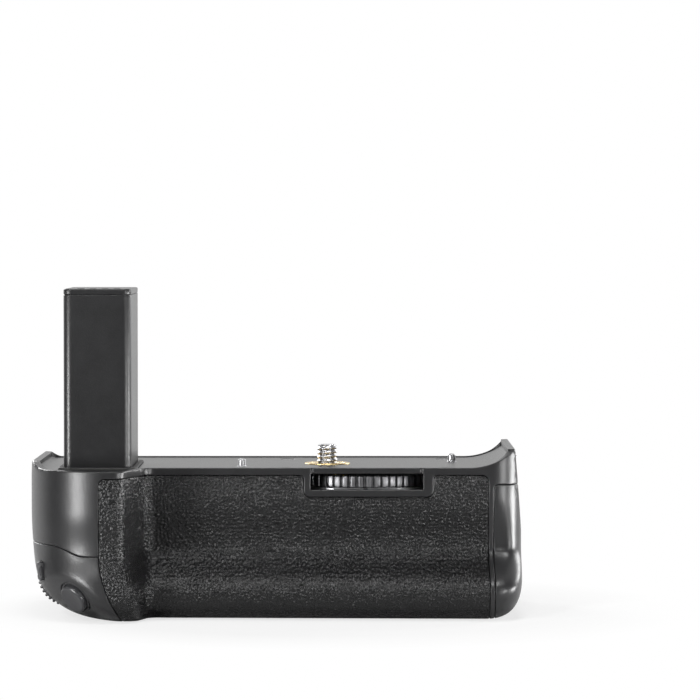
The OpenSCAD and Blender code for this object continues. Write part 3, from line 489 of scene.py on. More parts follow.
def addNode(tree, kind, sockets, operation=None):
    node = tree.nodes.new("ShaderNode" + kind)
    if operation:
        node.operation = operation
    return feed(tree, node, sockets)


def newFinish(name, colour, rough, metal=0.0, gloss=0.5):
    finish = bpy.data.materials.new(name)
    finish.use_nodes = True
    tree = finish.node_tree
    shade = feed(tree, tree.nodes["Principled BSDF"], {
        "Base Color": (*colour, 1), "Roughness": rough, "Metallic": metal, "Specular IOR Level": gloss})
    return finish, tree, shade, addNode(tree, "TexCoord", {}).outputs["Object"]


def noiseAt(tree, where, scale, detail=3.0, rough=0.55, stretch=None, output="Fac"):
    if stretch:
        where = addNode(tree, "Mapping", {"Vector": where, "Scale": stretch}).outputs["Vector"]
    sockets = {"Vector": where, "Scale": scale, "Detail": detail, "Roughness": rough}
    return addNode(tree, "TexNoise", sockets).outputs[output]


def spread(tree, value, low=0.3, high=0.7, outLow=0, outHigh=1):
    sockets = {"Value": value, "From Min": low, "From Max": high, "To Min": outLow, "To Max": outHigh}
    return addNode(tree, "MapRange", sockets).outputs["Result"]


def tint(tree, shade, value, colour, dark, light):
    ramp = addNode(tree, "ValToRGB", {"Fac": value})
    for stop, share in zip(ramp.color_ramp.elements, (dark, light)):
        stop.color = (*[min(1, c * share) for c in colour], 1)
    feed(tree, shade, {"Base Color": ramp.outputs["Color"]})


def roughen(tree, shade, value, low, high):
    feed(tree, shade, {"Roughness": spread(tree, value, outLow=low, outHigh=high)})


def bump(tree, shade, height, strength, distance):
    node = addNode(tree, "Bump", {"Height": height, "Strength": strength, "Distance": distance})
    feed(tree, shade, {"Normal": node.outputs["Normal"]})


def mouldedPlastic(name, colour, rough, grainScale, depth):
    finish, tree, shade, where = newFinish(name, colour, rough, gloss=0.42)
    tint(tree, shade, spread(tree, noiseAt(tree, where, 160, 4)), colour, 0.86, 1.14)
    fine = noiseAt(tree, where, grainScale, 2.5, 0.6)
    roughen(tree, shade, fine, rough - 0.05, rough + 0.06)
    bump(tree, shade, fine, 0.55, depth)
    return finish


def wrinkledRubber(name, colour, rough, settings):
    finish, tree, shade, where = newFinish(name, colour, rough, gloss=0.38)
    warp = noiseAt(tree, where, settings["warpScale"], 2, 0.5, output="Color")
    shift = {0: warp, 1: [settings["warp"]] * 3, 2: where}
    moved = addNode(tree, "VectorMath", shift, "MULTIPLY_ADD").outputs["Vector"]
    cells = addNode(tree, "TexVoronoi", {})
    cells.feature = "DISTANCE_TO_EDGE"
    feed(tree, cells, {"Vector": moved, "Scale": settings["cellScale"]})
    crease = spread(tree, cells.outputs["Distance"], 0, settings["creaseWide"])
    pebble = noiseAt(tree, moved, settings["pebbleScale"], 3, 0.6)
    both = addNode(tree, "Math", {0: pebble, 1: settings["pebble"], 2: crease}, "MULTIPLY_ADD")
    # painted shade and light: the colour is darkened to 0.55 in the creases and lightened to 1.12 on the
    # pebble tops
    tint(tree, shade, crease, colour, 0.55, 1.12)
    roughen(tree, shade, pebble, rough - 0.07, rough + 0.1)
    bump(tree, shade, both.outputs["Value"], settings["strength"], settings["depth"])
    return finish


def brushedMetal(name, colour, rough, stretch, depth):
    finish, tree, shade, where = newFinish(name, colour, rough, metal=1.0)
    lines = noiseAt(tree, where, 2600, 3, 0.65, stretch)
    tint(tree, shade, spread(tree, noiseAt(tree, where, 220, 3)), colour, 0.88, 1.06)
    roughen(tree, shade, lines, rough - 0.07, rough + 0.1)
    bump(tree, shade, lines, 0.4, depth)
    return finish


finishes = {
    "shell_plastic": mouldedPlastic("satinShellPlastic", (0.013, 0.013, 0.0136), 0.34, 3000, 0.00007),
    "rubber_cover": wrinkledRubber("wrinkledRubberCover", (0.0035, 0.0035, 0.0037), 0.24, {
        "warpScale": 1500, "warp": 0.0004, "cellScale": 2600, "creaseWide": 0.22, "pebbleScale": 5200,
        "pebble": 0.9, "strength": 0.5, "depth": 0.00006}),
    "inner_plastic": mouldedPlastic("innerPlastic", (0.020, 0.020, 0.021), 0.55, 4200, 0.00003),
    "button_plastic": mouldedPlastic("buttonPlastic", (0.026, 0.026, 0.028), 0.33, 6500, 0.00002),
    "wheel_metal": brushedMetal("blackenedWheelMetal", (0.16, 0.16, 0.165), 0.42, (1, 1, 0.15), 0.00002),
    "frame_metal": brushedMetal("castFrameMetal", (0.42, 0.42, 0.43), 0.45, (0.3, 1, 1), 0.00003),
    "steel": brushedMetal("brushedSteel", (0.50, 0.50, 0.51), 0.34, (1, 0.2, 1), 0.00002),
    "gold_contact": brushedMetal("goldContact", (0.83, 0.60, 0.22), 0.24, (1, 0.3, 1), 0.00001),
    "bush_brass": brushedMetal("turnedBrass", (0.66, 0.50, 0.24), 0.30, (1, 1, 0.2), 0.00002),
    "circuit_board": mouldedPlastic("circuitBoard", (0.016, 0.085, 0.040), 0.40, 3000, 0.00003),
    "battery_case": mouldedPlastic("batteryCase", (0.045, 0.046, 0.050), 0.44, 5200, 0.00003),
    "seal_rubber": mouldedPlastic("sealRubber", (0.018, 0.018, 0.018), 0.62, 3800, 0.00004),
}
for name, node in nodes.items():
    node.data.materials.clear()
    node.data.materials.append(finishes[slotOf[name]])
print("finishes made,", len(finishes))


# panels of the skin
seams = {
    "gap": 0.1, "edge": 0.32, "step": 1.15, "line": 0.6, "stepZ": 12.0, "stepRound": 1.3,
    "podStartX": -67.7, "sweep": 6.9, "sweepZ": 19.9, "sweepPower": 1.8,
    "seamRise": 2.8, "riseStart": 8, "riseRun": 10,
    "rubberTop": 43.1, "rubberRight": 48.9, "rubberFoot": -60.8, "rubberBackY": -16.0, "rubberDeep": 0.92,
    "rubberThick": 0.9, "rubberRound": 2.0, "notch": (-7.0, 32.3, 36.5), "window": (-4.9, 29.1, 38.6, 43.6),
    "windowRound": 0.4, "barHalf": 0.17, "barDeep": 0.35, "barTop": 45.15,
}


def peakX(a, b):
    x = np.linspace(a, b, round(abs(b - a) * 1000) + 1)
    return float(x[np.argmax(topAt(x))])


leftPeak = peakX(grip["leftX"], grip["leftX"] + 5)
rightPeak = peakX(grip["rightX"] - 8, grip["rightX"])


def rubberLeft(z):
    return seams["podStartX"] + seams["sweep"] * np.clip(1 - z / seams["sweepZ"], 0, 1) ** seams["sweepPower"]


def podSeam(x):
    s = seams
    return s["sweepZ"] + s["seamRise"] * (1 - smooth((x - grip["leftX"] - s["riseStart"]) / s["riseRun"]))


def podEnd(shift):
    # where the pod's top seam runs off the end of the grip
    x = np.linspace(grip["leftX"], -85, 20001)
    return float(x[np.argmax(podSeam(x) + shift > bottomAt(x))])


def topXs(a, b):
    bends = sorted((grip["leftBowl"][0], -70.0, grip["rightBowl"][0]), reverse=a > b)
    stops = [a] + [v for v in bends if min(a, b) < v < max(a, b)] + [b]
    return np.concatenate([lineUp(stops[i], stops[i + 1], 0.7)[:-1] for i in range(len(stops) - 1)] + [[b]])


def evenXs(a, b, step):
    # steps that are even along the surface
    return np.interp(lineUp(float(uOf(a)), float(uOf(b)), step), uTable, xTable)


def at(x, s0, s1):
    ss = lineUp(s0, s1, seams["line"])
    return np.stack([np.full(len(ss), float(uOf(x))), ss], -1)


def cornered(*corners):
    return densify(roundedPath(corners, False), seams["line"], False)


def level(y0, y1, z):
    y = lineUp(y0, y1, seams["line"])
    return np.stack([y, 0 * y + z], -1)


def plumb(y, z0, z1):
    return level(z0, z1, y)[:, ::-1]


def capTopX(z):
    return grip["rightX"] - (z - (grip["topZ"] - grip["rightLip"])) / grip["rightSlope"]


def rollX(z):
    # where the base, rolling up at the right end, reaches a height
    x = grip["rightX"] - 9 * np.linspace(1, 0, 3001) ** 3
    return np.interp(z, bottomAt(x), x)


def endX(z, left):
    g = grip
    if left:
        return g["leftX"] + np.maximum(z - (g["topZ"] - g["leftLip"]), 0) / g["leftSlope"]
    upper = g["rightX"] - np.maximum(z - (g["topZ"] - g["rightLip"]), 0) / g["rightSlope"]
    return np.minimum(upper, rollX(z))


def chartSheet(loop, plain, holes=(), pockets=(), step=None, edge=None):
    sheet = makeSheet([loop, *holes], step or seams["step"], edge or seams["edge"], plain, pockets)
    return {"sheet": sheet, "pos": skinPoint(sheet["flat"]), "nrm": skinNormal(sheet["flat"])}


def endSheet(skin, chain, closing, left, holes=()):
    # closes the end of a shell; chain lists the loop points that it shares with the skin
    ids = skin["sheet"]["place"][chain]
    ring = skin["pos"][ids][:, 1:]
    loop = np.concatenate([ring, *closing])
    plain = np.array([True] * (len(ring) - 1) + [False] * (len(loop) - len(ring) + 1))
    order = np.arange(len(loop))
    if loopArea(loop) < 0:
        loop, order = loop[::-1], order[::-1]
        plain = np.roll(plain[::-1], -1)
    sheet = makeSheet([loop, *holes], seams["step"], seams["edge"], plain)
    y, z = sheet["flat"].T
    pos = np.stack([endX(z, left), y, z], -1)
    e, out = 0.05, -1.0 if left else 1.0
    slope = (endX(z + e, left) - endX(z - e, left)) / (2 * e)
    nrm = np.stack([np.full(len(z), out), 0 * z, slope * -out], -1)
    nrm /= np.linalg.norm(nrm, axis=1)[:, None]
    shared = {int(sheet["place"][int(np.flatnonzero(order == i)[0])]): int(g) for i, g in enumerate(ids)}
    return sheet, pos, nrm, shared


def closePanel(name, node, skin, ends, thick):
    pos, nrm, inset, tris = joinSheets(skin, ends)
    # points shared by the skin and an end face get the mean direction
    for sheet, p, n, shared in ends:
        for a, b in shared.items():
            m = nrm[b] + n[a]
            nrm[b] = m / np.linalg.norm(m)
            inset[b] = max(inset[b], sheet["inset"][a])
    verts, faces = thicken(pos, nrm, inset, tris, thick)
    return addPiece(name, verts, faces, node, finish=finishes[slotOf[node]])


def rubberLoop(grow):
    # outline of the front cover, grown by a little for its pocket
    left, right = seams["podStartX"] - grow, seams["rubberRight"] + grow
    top, r, low = seams["rubberTop"] + grow, seams["rubberRound"], 10.0
    n0, n1, nz = seams["notch"]
    n0, n1, nz = n0 + grow, n1 - grow, nz + grow
    upper = cornered((left, seams["sweepZ"] + 1, 0), (left, top, r), (n0, top, 1.2), (n0, nz, r),
                     (n1, nz, r), (n1, top, 1.2), (right, top, 2.2), (right, low, 0))
    backY, foot = seams["rubberBackY"] + grow, seams["rubberFoot"] - grow
    down = at(right, frontChart(right, low)[1], bottomChart(right, backY)[1])
    back = bottomChart(lineUp(right, foot, 0.8), backY)
    inward = at(foot, bottomChart(foot, backY)[1], 0)
    z = 0.02 + (seams["sweepZ"] - 0.02) * np.linspace(0, 1, 45) ** 1.6
    edge = rubberLeft(z) - grow
    up = frontChart(edge, z + bottomAt(edge) * (z < 0.1))
    return joinParts([(p, False) for p in (frontChart(*upper.T), down, back, inward, up)])[0]


def podLoop(grow):
    # control pod's outline: seam on top, the cover's edge at the right, the shells' split at the back
    x0, foot, split = podEnd(grow), seams["rubberFoot"] + grow, grip["splitY"] + grow
    xs = evenXs(x0, seams["podStartX"] + grow, 0.5)
    seam = frontChart(xs, np.maximum(podSeam(xs) + grow, bottomAt(xs)))
    z = 0.02 + (seams["sweepZ"] + grow - 0.02) * (1 - np.linspace(0, 1, 45)) ** 1.6
    xr = rubberLeft(z) + grow
    side = frontChart(xr, np.maximum(z, bottomAt(xr)))
    under = at(foot, 0, bottomChart(foot, split)[1])
    back = bottomChart(evenXs(foot, x0, 0.8), split)
    end = at(x0, bottomChart(x0, split)[1], 0)
    return seam, side, under, back, end


baseHoles = [(0, 0, 5.2)] + [(x, y, 2.3) for x in (-52.4, 40.1) for y in (-9, 20)]
rearHoles = {
    "round": [(-79.4, 35.0, 2.95), (-79.4, 25.3, 2.95), (-79.4, 15.6, 2.95), (-72.5, 20.5, 4.7),
              (-72.5, 31.0, 2.2)],
    "slot": (-54.8, -45.6, 10.3, 13.7, 1.6), "pad": (-43.2, 30.0, 40.0, 20.0, 4.0), "padDeep": 0.8,
}


def boxPath(x0, x1, z0, z1, r, step, chord=0.22):
    return densify(roundedPath([(x0, z0, r), (x1, z0, r), (x1, z1, r), (x0, z1, r)], chord=chord), step)


def frontShell():
    g, top, split, seamX = grip, grip["capTop"], grip["splitY"], grip["seamX"]
    xe = float(capTopX(top))
    edge = topXs(leftPeak, rightPeak)
    lipLeft = np.linspace(g["leftX"], leftPeak, 9)
    lipRight = np.linspace(rightPeak, xe, 14)
    stepZ = seams["stepZ"]
    step = cornered((xe, top, 0), (seamX, top, seams["stepRound"]), (seamX, stepZ, 0))
    down = at(seamX, frontChart(seamX, stepZ)[1], bottomChart(seamX, split)[1])
    seam, side, under, back, end = podLoop(0.0)
    base = bottomChart(lineUp(seamX, seams["rubberFoot"], 0.8), split)
    last = bottomChart(evenXs(podEnd(0.0), g["leftX"], 0.6), split)
    sSplit = bottomChart(g["leftX"], split)[1]
    leftEdge = at(g["leftX"], sSplit, frontChart(g["leftX"], topAt(g["leftX"]))[1])
    parts = [(frontChart(lipLeft, topAt(lipLeft)), True), (frontChart(edge, topAt(edge)), False),
             (frontChart(lipRight, topAt(lipRight)), True), (frontChart(*step.T), False),
             (down, False), (base, False), (under[::-1], False), (side[::-1], False), (seam[::-1], False),
             (end[::-1], False), (last, False), (leftEdge, True)]
    loop, plain = joinParts(parts)
    w = seams["window"]
    holes = [frontChart(*boxPath(*w, seams["windowRound"], 0.6).T)] + [
        bottomChart(*circlePath(x, y, r, 48).T) for x, y, r in baseHoles if y < split]
    half = seams["barHalf"]
    bars = [boxPath(x - half, x + half, w[3] + 0.2, seams["barTop"], 0, 0.3)
            for x in (w[0] + 0.4, w[1] - 0.4)]
    skin = chartSheet(loop, plain, holes, [(rubberLoop(0.06), seams["rubberDeep"])]
                      + [(frontChart(*b.T), seams["barDeep"]) for b in bars])
    nLip, count = len(lipLeft) - 1, len(loop)
    chain = list(range(count - len(leftEdge) + 1, count)) + list(range(nLip + 1))
    zp = float(topAt(leftPeak))
    z0 = float(skinPoint(np.array([[0.0, sSplit]]))[0, 2])
    yp = float(frontAt(leftPeak, zp))
    leftEnd = endSheet(skin, chain, [level(yp, split, zp)[1:-1], plumb(split, zp, z0)[:-1]], True)
    start = nLip + len(edge) - 1
    chain = list(range(start, start + len(lipRight)))
    zp, yp = float(topAt(rightPeak)), float(frontAt(rightPeak, topAt(rightPeak)))
    ye = float(frontAt(xe, top))
    rightEnd = endSheet(skin, chain, [level(ye, split, top)[1:-1], plumb(split, top, zp)[:-1],
                                      level(split, yp, zp)[:-1]], False)
    return closePanel("frontShell", "front_shell", skin, [leftEnd, rightEnd], g["wall"])


def rearShell():
    g, top, split, seamX = grip, grip["capTop"], grip["splitY"] + seams["gap"], grip["seamX"]
    xe = float(capTopX(top))
    sSplit = bottomChart(g["leftX"], split)[1]
    base = bottomChart(evenXs(g["leftX"], seamX, 0.8), split)
    stepZ = seams["stepZ"]
    up = at(seamX, bottomChart(seamX, split)[1], backChart(seamX, stepZ)[1])
    step = cornered((seamX, stepZ, 0), (seamX, top, seams["stepRound"]), (xe, top, 0))
    lipRight = np.linspace(xe, rightPeak, 14)
    edge = topXs(rightPeak, leftPeak)
    lipLeft = np.linspace(leftPeak, g["leftX"], 9)
    leftEdge = at(g["leftX"], backChart(g["leftX"], topAt(g["leftX"]))[1], sSplit)
    parts = [(base, False), (up, False), (backChart(*step.T), False),
             (backChart(lipRight, topAt(lipRight)), True), (backChart(edge, topAt(edge)), False),
             (backChart(lipLeft, topAt(lipLeft)), True), (leftEdge, True)]
    loop, plain = joinParts(parts)
    holes = [backChart(*circlePath(*hole).T) for hole in rearHoles["round"]]
    holes.append(backChart(*boxPath(*rearHoles["slot"], 0.4, 0.12).T))
    holes += [bottomChart(*circlePath(x, y, r, 48).T) for x, y, r in baseHoles if y > g["splitY"]]
    skin = chartSheet(loop, plain, holes, [(backChart(*rectPath(*rearHoles["pad"]).T), rearHoles["padDeep"])])
    starts = np.cumsum([0] + [len(p) - 1 for p, flat in parts])
    chain = list(range(starts[5], len(loop))) + [0]
    zp, yp = float(topAt(leftPeak)), float(backAt(leftPeak))
    z0 = float(skinPoint(np.array([[0.0, sSplit]]))[0, 2])
    leftEnd = endSheet(skin, chain, [plumb(split, z0, zp)[1:], level(split, yp, zp)[1:-1]], True)
    chain = list(range(starts[3], starts[3] + len(lipRight)))
    zp, yp, ye = float(topAt(rightPeak)), float(backAt(rightPeak)), float(backAt(xe))
    rightEnd = endSheet(skin, chain, [level(yp, split, zp)[1:], plumb(split, zp, top)[1:],
                                      level(split, ye, top)[1:-1]], False)
    return closePanel("rearShell", "rear_shell", skin, [leftEnd, rightEnd], g["wall"])


def skinMeets(c, miss):
    # points of the skin at which both numbers of miss(chart, point) are nought
    e = 1e-3
    for k in range(30):
        r = miss(c, skinPoint(c))
        ju, js = ((miss(c + d, skinPoint(c + d)) - r) / e for d in ((e, 0), (0, e)))
        det = ju[:, 0] * js[:, 1] - ju[:, 1] * js[:, 0]
        det = np.where(np.abs(det) < 1e-6, 1e-6, det)
        step = np.stack([js[:, 0] * r[:, 1] - js[:, 1] * r[:, 0],
                         ju[:, 1] * r[:, 0] - ju[:, 0] * r[:, 1]], -1)
        c = c + np.clip(step / det[:, None], -1.5, 1.5)
        c[:, 0] = np.clip(c[:, 0], 0.05, uEnd - 0.05)
    return c


def boredHole(outline, frameAt):
    # an outline in a plane across the frame's z, carried along z to the skin
    axes, place = frameAt
    start = np.repeat(frontChart(place[0], place[2])[None], len(outline), 0)
    return skinMeets(start, lambda c, p: (p - place) @ axes[:2].T - outline)


dialAt = {"x": -78.3, "y": -20.0, "z": 12.3, "r": 9.5, "wide": 9.0, "slotGap": 0.4,
          "ribs": 40, "deep": 0.55, "soft": 0.5, "bore": 1.52, "rise": 0.24, "flat": 0.3}
functionAt = {"p": (-85.8, -30.4, 14.5), "inward": (0.884, 0.452, 0.12), "r": 1.5, "half": 1.4, "gap": 0.15,
              "low": -4.7, "high": 0.9, "edge": 0.4}


def dialSlot():
    d, gap, n = dialAt, dialAt["slotGap"], 25
    reach, y0, y1 = d["r"] + gap, d["y"] - gap, d["y"] + d["wide"] + gap
    ys = np.linspace(y0, y1, n)

    def ring(c, p):
        return np.stack([np.hypot(p[:, 0] - d["x"], p[:, 2] - d["z"]) - reach, p[:, 1] - ys], -1)

    def across(y, a, b):
        line = np.linspace(a, b, n)
        return skinMeets(line, lambda c, p: np.stack([c[:, 0] - line[:, 0], p[:, 1] - y], -1))

    left, right = (skinMeets(bottomChart(np.full(n, x), ys), ring) for x in (-88.0, -79.0))
    return np.concatenate([left[:-1], across(y1, left[-1], right[-1])[:-1], right[::-1][:-1],
                           across(y0, right[0], left[0])[:-1]])


def stadiumPath(r, half, count=20):
    t = np.linspace(-math.pi / 2, math.pi / 2, count)
    right = np.stack([half + r * np.cos(t), r * np.sin(t)], -1)
    return np.concatenate([right, -right])


def frameOf(place, axis, side=(0, 0, -1)):
    # a piece's own x, y and z in the grip's frame, and where its middle stands
    z = np.array(axis, float) / np.linalg.norm(axis)
    s = np.array(side, float)
    x = s - z * (s @ z)
    x /= np.linalg.norm(x)
    return np.stack([x, np.cross(z, x), z]), np.array(place, float)


def controlPod():
    loop, plain = joinParts([(p, False) for p in podLoop(-seams["gap"])])
    f = functionAt
    holes = [boredHole(circlePath(0, 0, 5.4, 72), frameOf(facet["p"], facet["inward"])),
             boredHole(stadiumPath(f["r"] + f["gap"], f["half"]), frameOf(f["p"], f["inward"])), dialSlot()]
    skin = chartSheet(loop, plain, holes, step=0.9)
    return closePanel("controlPod", "control_pod", skin, [], grip["wall"])


leather = {"step": 0.24, "cell": 1.1, "jitter": 0.42, "stretch": 0.55, "crease": 0.66, "deep": 0.30,
           "seed": 7, "side": 256, "low": 0.55, "crown": 0.75, "flat": 0.45}


def leatherGrain(c):
    # pebbles with creases between them: how far the two nearest pebble middles lie apart, on a shaken grid
    g, side = leather, leather["side"]
    rng = np.random.default_rng(g["seed"])
    shake = rng.uniform(-g["jitter"], g["jitter"], (side, side, 2))
    turn = rng.uniform(0, math.pi, (side, side))
    tall = rng.uniform(g["low"], 1.0, (side, side))
    q = c / g["cell"]
    home = np.floor(q).astype(int)
    first, second, height = np.full(len(c), 9.0), np.full(len(c), 9.0), np.zeros(len(c))
    for i in (-2, -1, 0, 1, 2):
        for j in (-2, -1, 0, 1, 2):
            cell = tuple(((home + (i, j)) % side).T)
            d = q - (home + (i, j)) - 0.5 - shake[cell]
            a = turn[cell]
            along = d[:, 0] * np.cos(a) + d[:, 1] * np.sin(a)
            across = -d[:, 0] * np.sin(a) + d[:, 1] * np.cos(a)
            far = np.hypot(along * (1 - g["stretch"] * 0.5), across * (1 + g["stretch"] * 0.5))
            closer = far < first
            second = np.where(closer, first, np.minimum(second, far))
            height = np.where(closer, tall[cell], height)
            first = np.minimum(first, far)
    crown = 1 - np.clip(first / g["crown"], 0, 1) ** 2
    ridge = smooth((second - first) / g["crease"])
    return g["deep"] * (1 - ridge * height * (g["flat"] + (1 - g["flat"]) * crown))


cover = {"edge": 0.4, "rimGrain": 0.5, "under": 0.12, "fadeStart": 1.5, "fadeRun": 6}


def frontCover():
    loop = rubberLoop(0.0)
    skin = chartSheet(loop, np.zeros(len(loop), bool), step=leather["step"], edge=cover["edge"])
    sheet = skin["sheet"]
    # the grain is weaker at the rim and under the base
    up = smooth((-cover["fadeStart"] - sheet["flat"][:, 1]) / cover["fadeRun"])
    fade = np.where(sheet["rim"], cover["rimGrain"], 1.0) * (cover["under"] + (1 - cover["under"]) * up)
    sheet["inset"] += leatherGrain(sheet["flat"]) * fade
    return closePanel("frontCover", "front_rubber", skin, [], seams["rubberThick"])


lock = {"y": 5.5, "z": 19.5, "r": 9.0, "back": 56.2, "face": 58.8, "edge": 0.45, "recess": 9.3,
        "floor": 56.05, "trough": (5.3, 7.7, 1.6), "stem": (2.0, 56.4, 53.5),
        "brim": 58.75, "dip": (3.5, 13, 3)}


def magazineCap():
    g, gap = grip, seams["gap"]
    top, x0, right, stepZ = g["capTop"] - gap, g["seamX"] + gap, g["rightX"], seams["stepZ"]
    xe = float(capTopX(top))
    lip = np.linspace(xe, right, 30)
    step = cornered((x0, stepZ, 0), (x0, top, seams["stepRound"]), (xe, top, 0))
    side = at(x0, backChart(x0, stepZ)[1], frontChart(x0, stepZ)[1])
    brim = at(right, frontChart(right, topAt(right))[1], backChart(right, topAt(right))[1])
    # the seam between skin and end face dips below the knob's hole
    deep, half, run = lock["dip"]
    rise = g["rightRoll"][2]
    brim[:, 0] = uOf(rollX(rise - deep * smooth((half - np.abs(skinPoint(brim)[:, 1] - lock["y"])) / run)))
    parts = [(frontChart(*step.T), False), (frontChart(lip, topAt(lip)), True), (brim, True),
             (backChart(lip[::-1], topAt(lip[::-1])), True), (backChart(*step[::-1].T), False), (side, False)]
    loop, plain = joinParts(parts)
    skin = chartSheet(loop, plain)
    first = len(step) - 1
    chain = list(range(first, first + sum(len(p) - 1 for p, flat in parts[1:4]) + 1))
    yf, yb = float(frontAt(xe, top)), float(backAt(xe))
    knobHole = circlePath(lock["y"], lock["z"], lock["recess"], 120)
    end = endSheet(skin, chain, [level(yb, yf, top)[1:-1]], False, [knobHole])
    return closePanel("magazineCap", "magazine_cap", skin, [end], g["wall"])


panels = {p.name: p for p in (frontShell(), rearShell(), controlPod(), frontCover(), magazineCap())}
print("skin panels made:", ", ".join(f"{n} {len(p.data.polygons)} faces" for n, p in panels.items()))


# makers for turned, toothed, threaded and flat pieces
def placed(verts, frameAt):
    return np.asarray(verts, float) @ frameAt[0] + frameAt[1]


def hoop(r, a, h):
    return np.stack([r * np.cos(a), r * np.sin(a), np.full(len(a), h)], -1)


def rings(rows, closed=False, caps=False):
    # joins rows of points that run round; a row of one point closes like a cone
    verts, ids, faces = [], [], []
    for row in rows:
        ids.append(np.arange(len(row)) + len(verts))
        verts += [tuple(p) for p in row]
    for a, b in zip(ids, ids[1:] + ids[:1] if closed else ids[1:]):
        n = max(len(a), len(b))
        for i in range(n):
            j = (i + 1) % n
            if len(a) == 1:
                faces.append((a[0], b[i], b[j]))
            elif len(b) == 1:
                faces.append((a[i], b[0], a[j]))
            else:
                faces.append((a[i], b[i], b[j], a[j]))
    if caps:
        faces += [tuple(ids[0][::-1]), tuple(ids[-1])]
    return np.array(verts, float), faces


def joined(*solids):
    verts, faces, count = [], [], 0
    for v, f in solids:
        verts.append(v)
        faces += [tuple(int(i) + count for i in face) for face in f]
        count += len(v)
    return np.concatenate(verts), faces


def turned(profile, frameAt, count=72, chord=0.12, closed=False):
    # revolves (radius, height, fillet) points about the frame's z
    a = np.arange(count) * 2 * math.pi / count
    path = roundedPath(profile, closed, chord)
    v, f = rings([[(0, 0, h)] if r < 1e-6 else hoop(r, a, h) for r, h in path], closed)
    return placed(v, frameAt), f


def rod(r, top, foot, frameAt, count):
    return turned([(0, top, 0), (r, top, 0), (r, foot, 0), (0, foot, 0)], frameAt, count)


def slab(loops, low, high, edge, frameAt, step=1.2, pockets=(), grain=None):
    # a flat piece between two heights, both its edges rounded
    sheet = makeSheet(loops, step, edge, None, pockets)
    n = len(sheet["flat"])
    pos = np.concatenate([sheet["flat"], np.full((n, 1), float(high))], 1)
    back = np.where(sheet["inset"] <= edge, sheet["inset"], 0)
    inset = sheet["inset"] + (0 if grain is None else grain(sheet["flat"]) * np.where(sheet["rim"], 0.5, 1))
    v, f = thicken(pos, np.tile((0.0, 0.0, 1.0), (n, 1)), inset, sheet["tris"], high - low, back)
    return placed(v, frameAt), f


def toothed(count, r, deep, high, soft, bore, frameAt, rise, flat, per=14, inner=0.0):
    # teeth round a wheel; rise and flat are shares of a tooth, per is how many points it has
    t = np.arange(count * per)
    a = t * 2 * math.pi / (count * per)
    part = (t % per) / per
    tooth = smooth(part / rise) * smooth((2 * rise + flat - part) / rise)
    outer, bores = r - deep * (1 - tooth), bore + inner * tooth
    brow = [(h * soft, c * soft) for h, c in ((0, 1.0), (0.15, 0.55), (0.42, 0.18), (1.0, 0.0))]
    brow += [(high - h, c) for h, c in brow[::-1]]
    v, f = rings([hoop(outer - c, a, h) for h, c in brow] + [hoop(bores, a, high), hoop(bores, a, 0)], True)
    return placed(v, frameAt), f


def threaded(r, deep, pitch, low, high, frameAt, lead=0.7, count=56, wall=None):
    # one start of a right-hand thread, inside when it has a wall
    # lead is the length over which a free end dies away
    a = np.arange(count) * 2 * math.pi / count
    rows = []
    for h in np.linspace(low, high, int((high - low) / (pitch / 12)) + 2):
        phase = (h / pitch - a / (2 * math.pi)) % 1
        crest = np.clip(np.abs(phase - 0.5) * 2.6 - 0.15, 0, 1)
        fade = np.clip((high - h) / lead, 0, 1)
        rows.append(hoop(r + deep * crest if wall else r - deep * crest - (1 - fade) * deep * 0.6, a, h))
    if wall:
        mouth = ((r + wall, high), (r + wall, low + 0.2), (r + wall - 0.2, low), (r + deep + 0.35, low))
        v, f = rings([hoop(rr, a, h) for rr, h in mouth] + rows, True)
    else:
        v, f = rings([[(0, 0, low)], *rows, hoop(r - deep - 0.25, a, high + 0.25), [(0, 0, high + 0.28)]])
    return placed(v, frameAt), f


def addMade(name, node, solid, sharp=35):
    return addPiece(name, *solid, node, finish=finishes[slotOf[node]], sharp=sharp, outward=True)


def uprightAt(x, y, z):
    return frameOf((x, y, z), (0, 0, 1), (1, 0, 0))


def rearFrame(x, z, y=0.0):
    return frameOf((x, y, z), (0, 1, 0), (1, 0, 0))


upright = uprightAt(0, 0, 0)


# clamp wheel, screw, bush and pins on the seat
wheel = {"at": (11.7, -2.65, 39.2), "teeth": 60, "r": 23.0, "deep": 0.95, "high": 3.6, "soft": 0.62,
         "bore": 18.0, "rise": 0.17, "flat": 0.46, "inner": 0.6, "collar": (18.8, 20.6, -1.2, 0.1)}
wheelFrame = uprightAt(*wheel["at"])
r0, r1, z0, z1 = wheel["collar"]
addMade("clampWheel", "clamp_wheel", joined(
    toothed(wheel["teeth"], wheel["r"], wheel["deep"], wheel["high"], wheel["soft"], wheel["bore"],
            wheelFrame, wheel["rise"], wheel["flat"], inner=wheel["inner"]),
    turned([(r0, z0, 0.1), (r1, z0, 0.1), (r1, z1, 0), (r0, z1, 0)], wheelFrame, 96, closed=True)), 30)

screw = {"r": 3.175, "deep": 0.42, "pitch": 1.27, "low": 45.3, "high": 50.7, "shaft": (2.825, 45.5),
         "collar": (4.3, 44.5, 43.4), "hex": (2.771, 43.6, 36.8)}
(rs, zs), (rc, z1, z0) = screw["shaft"], screw["collar"]
addMade("cameraScrew", "camera_screw", joined(
    threaded(screw["r"], screw["deep"], screw["pitch"], screw["low"], screw["high"], upright),
    turned([(0, zs, 0), (rs, zs, 0), (rs, z1, 0), (rc, z1, 0.1), (rc, z0, 0.1), (0, z0, 0)], upright, 56),
    rod(*screw["hex"], upright, 6)), 40)

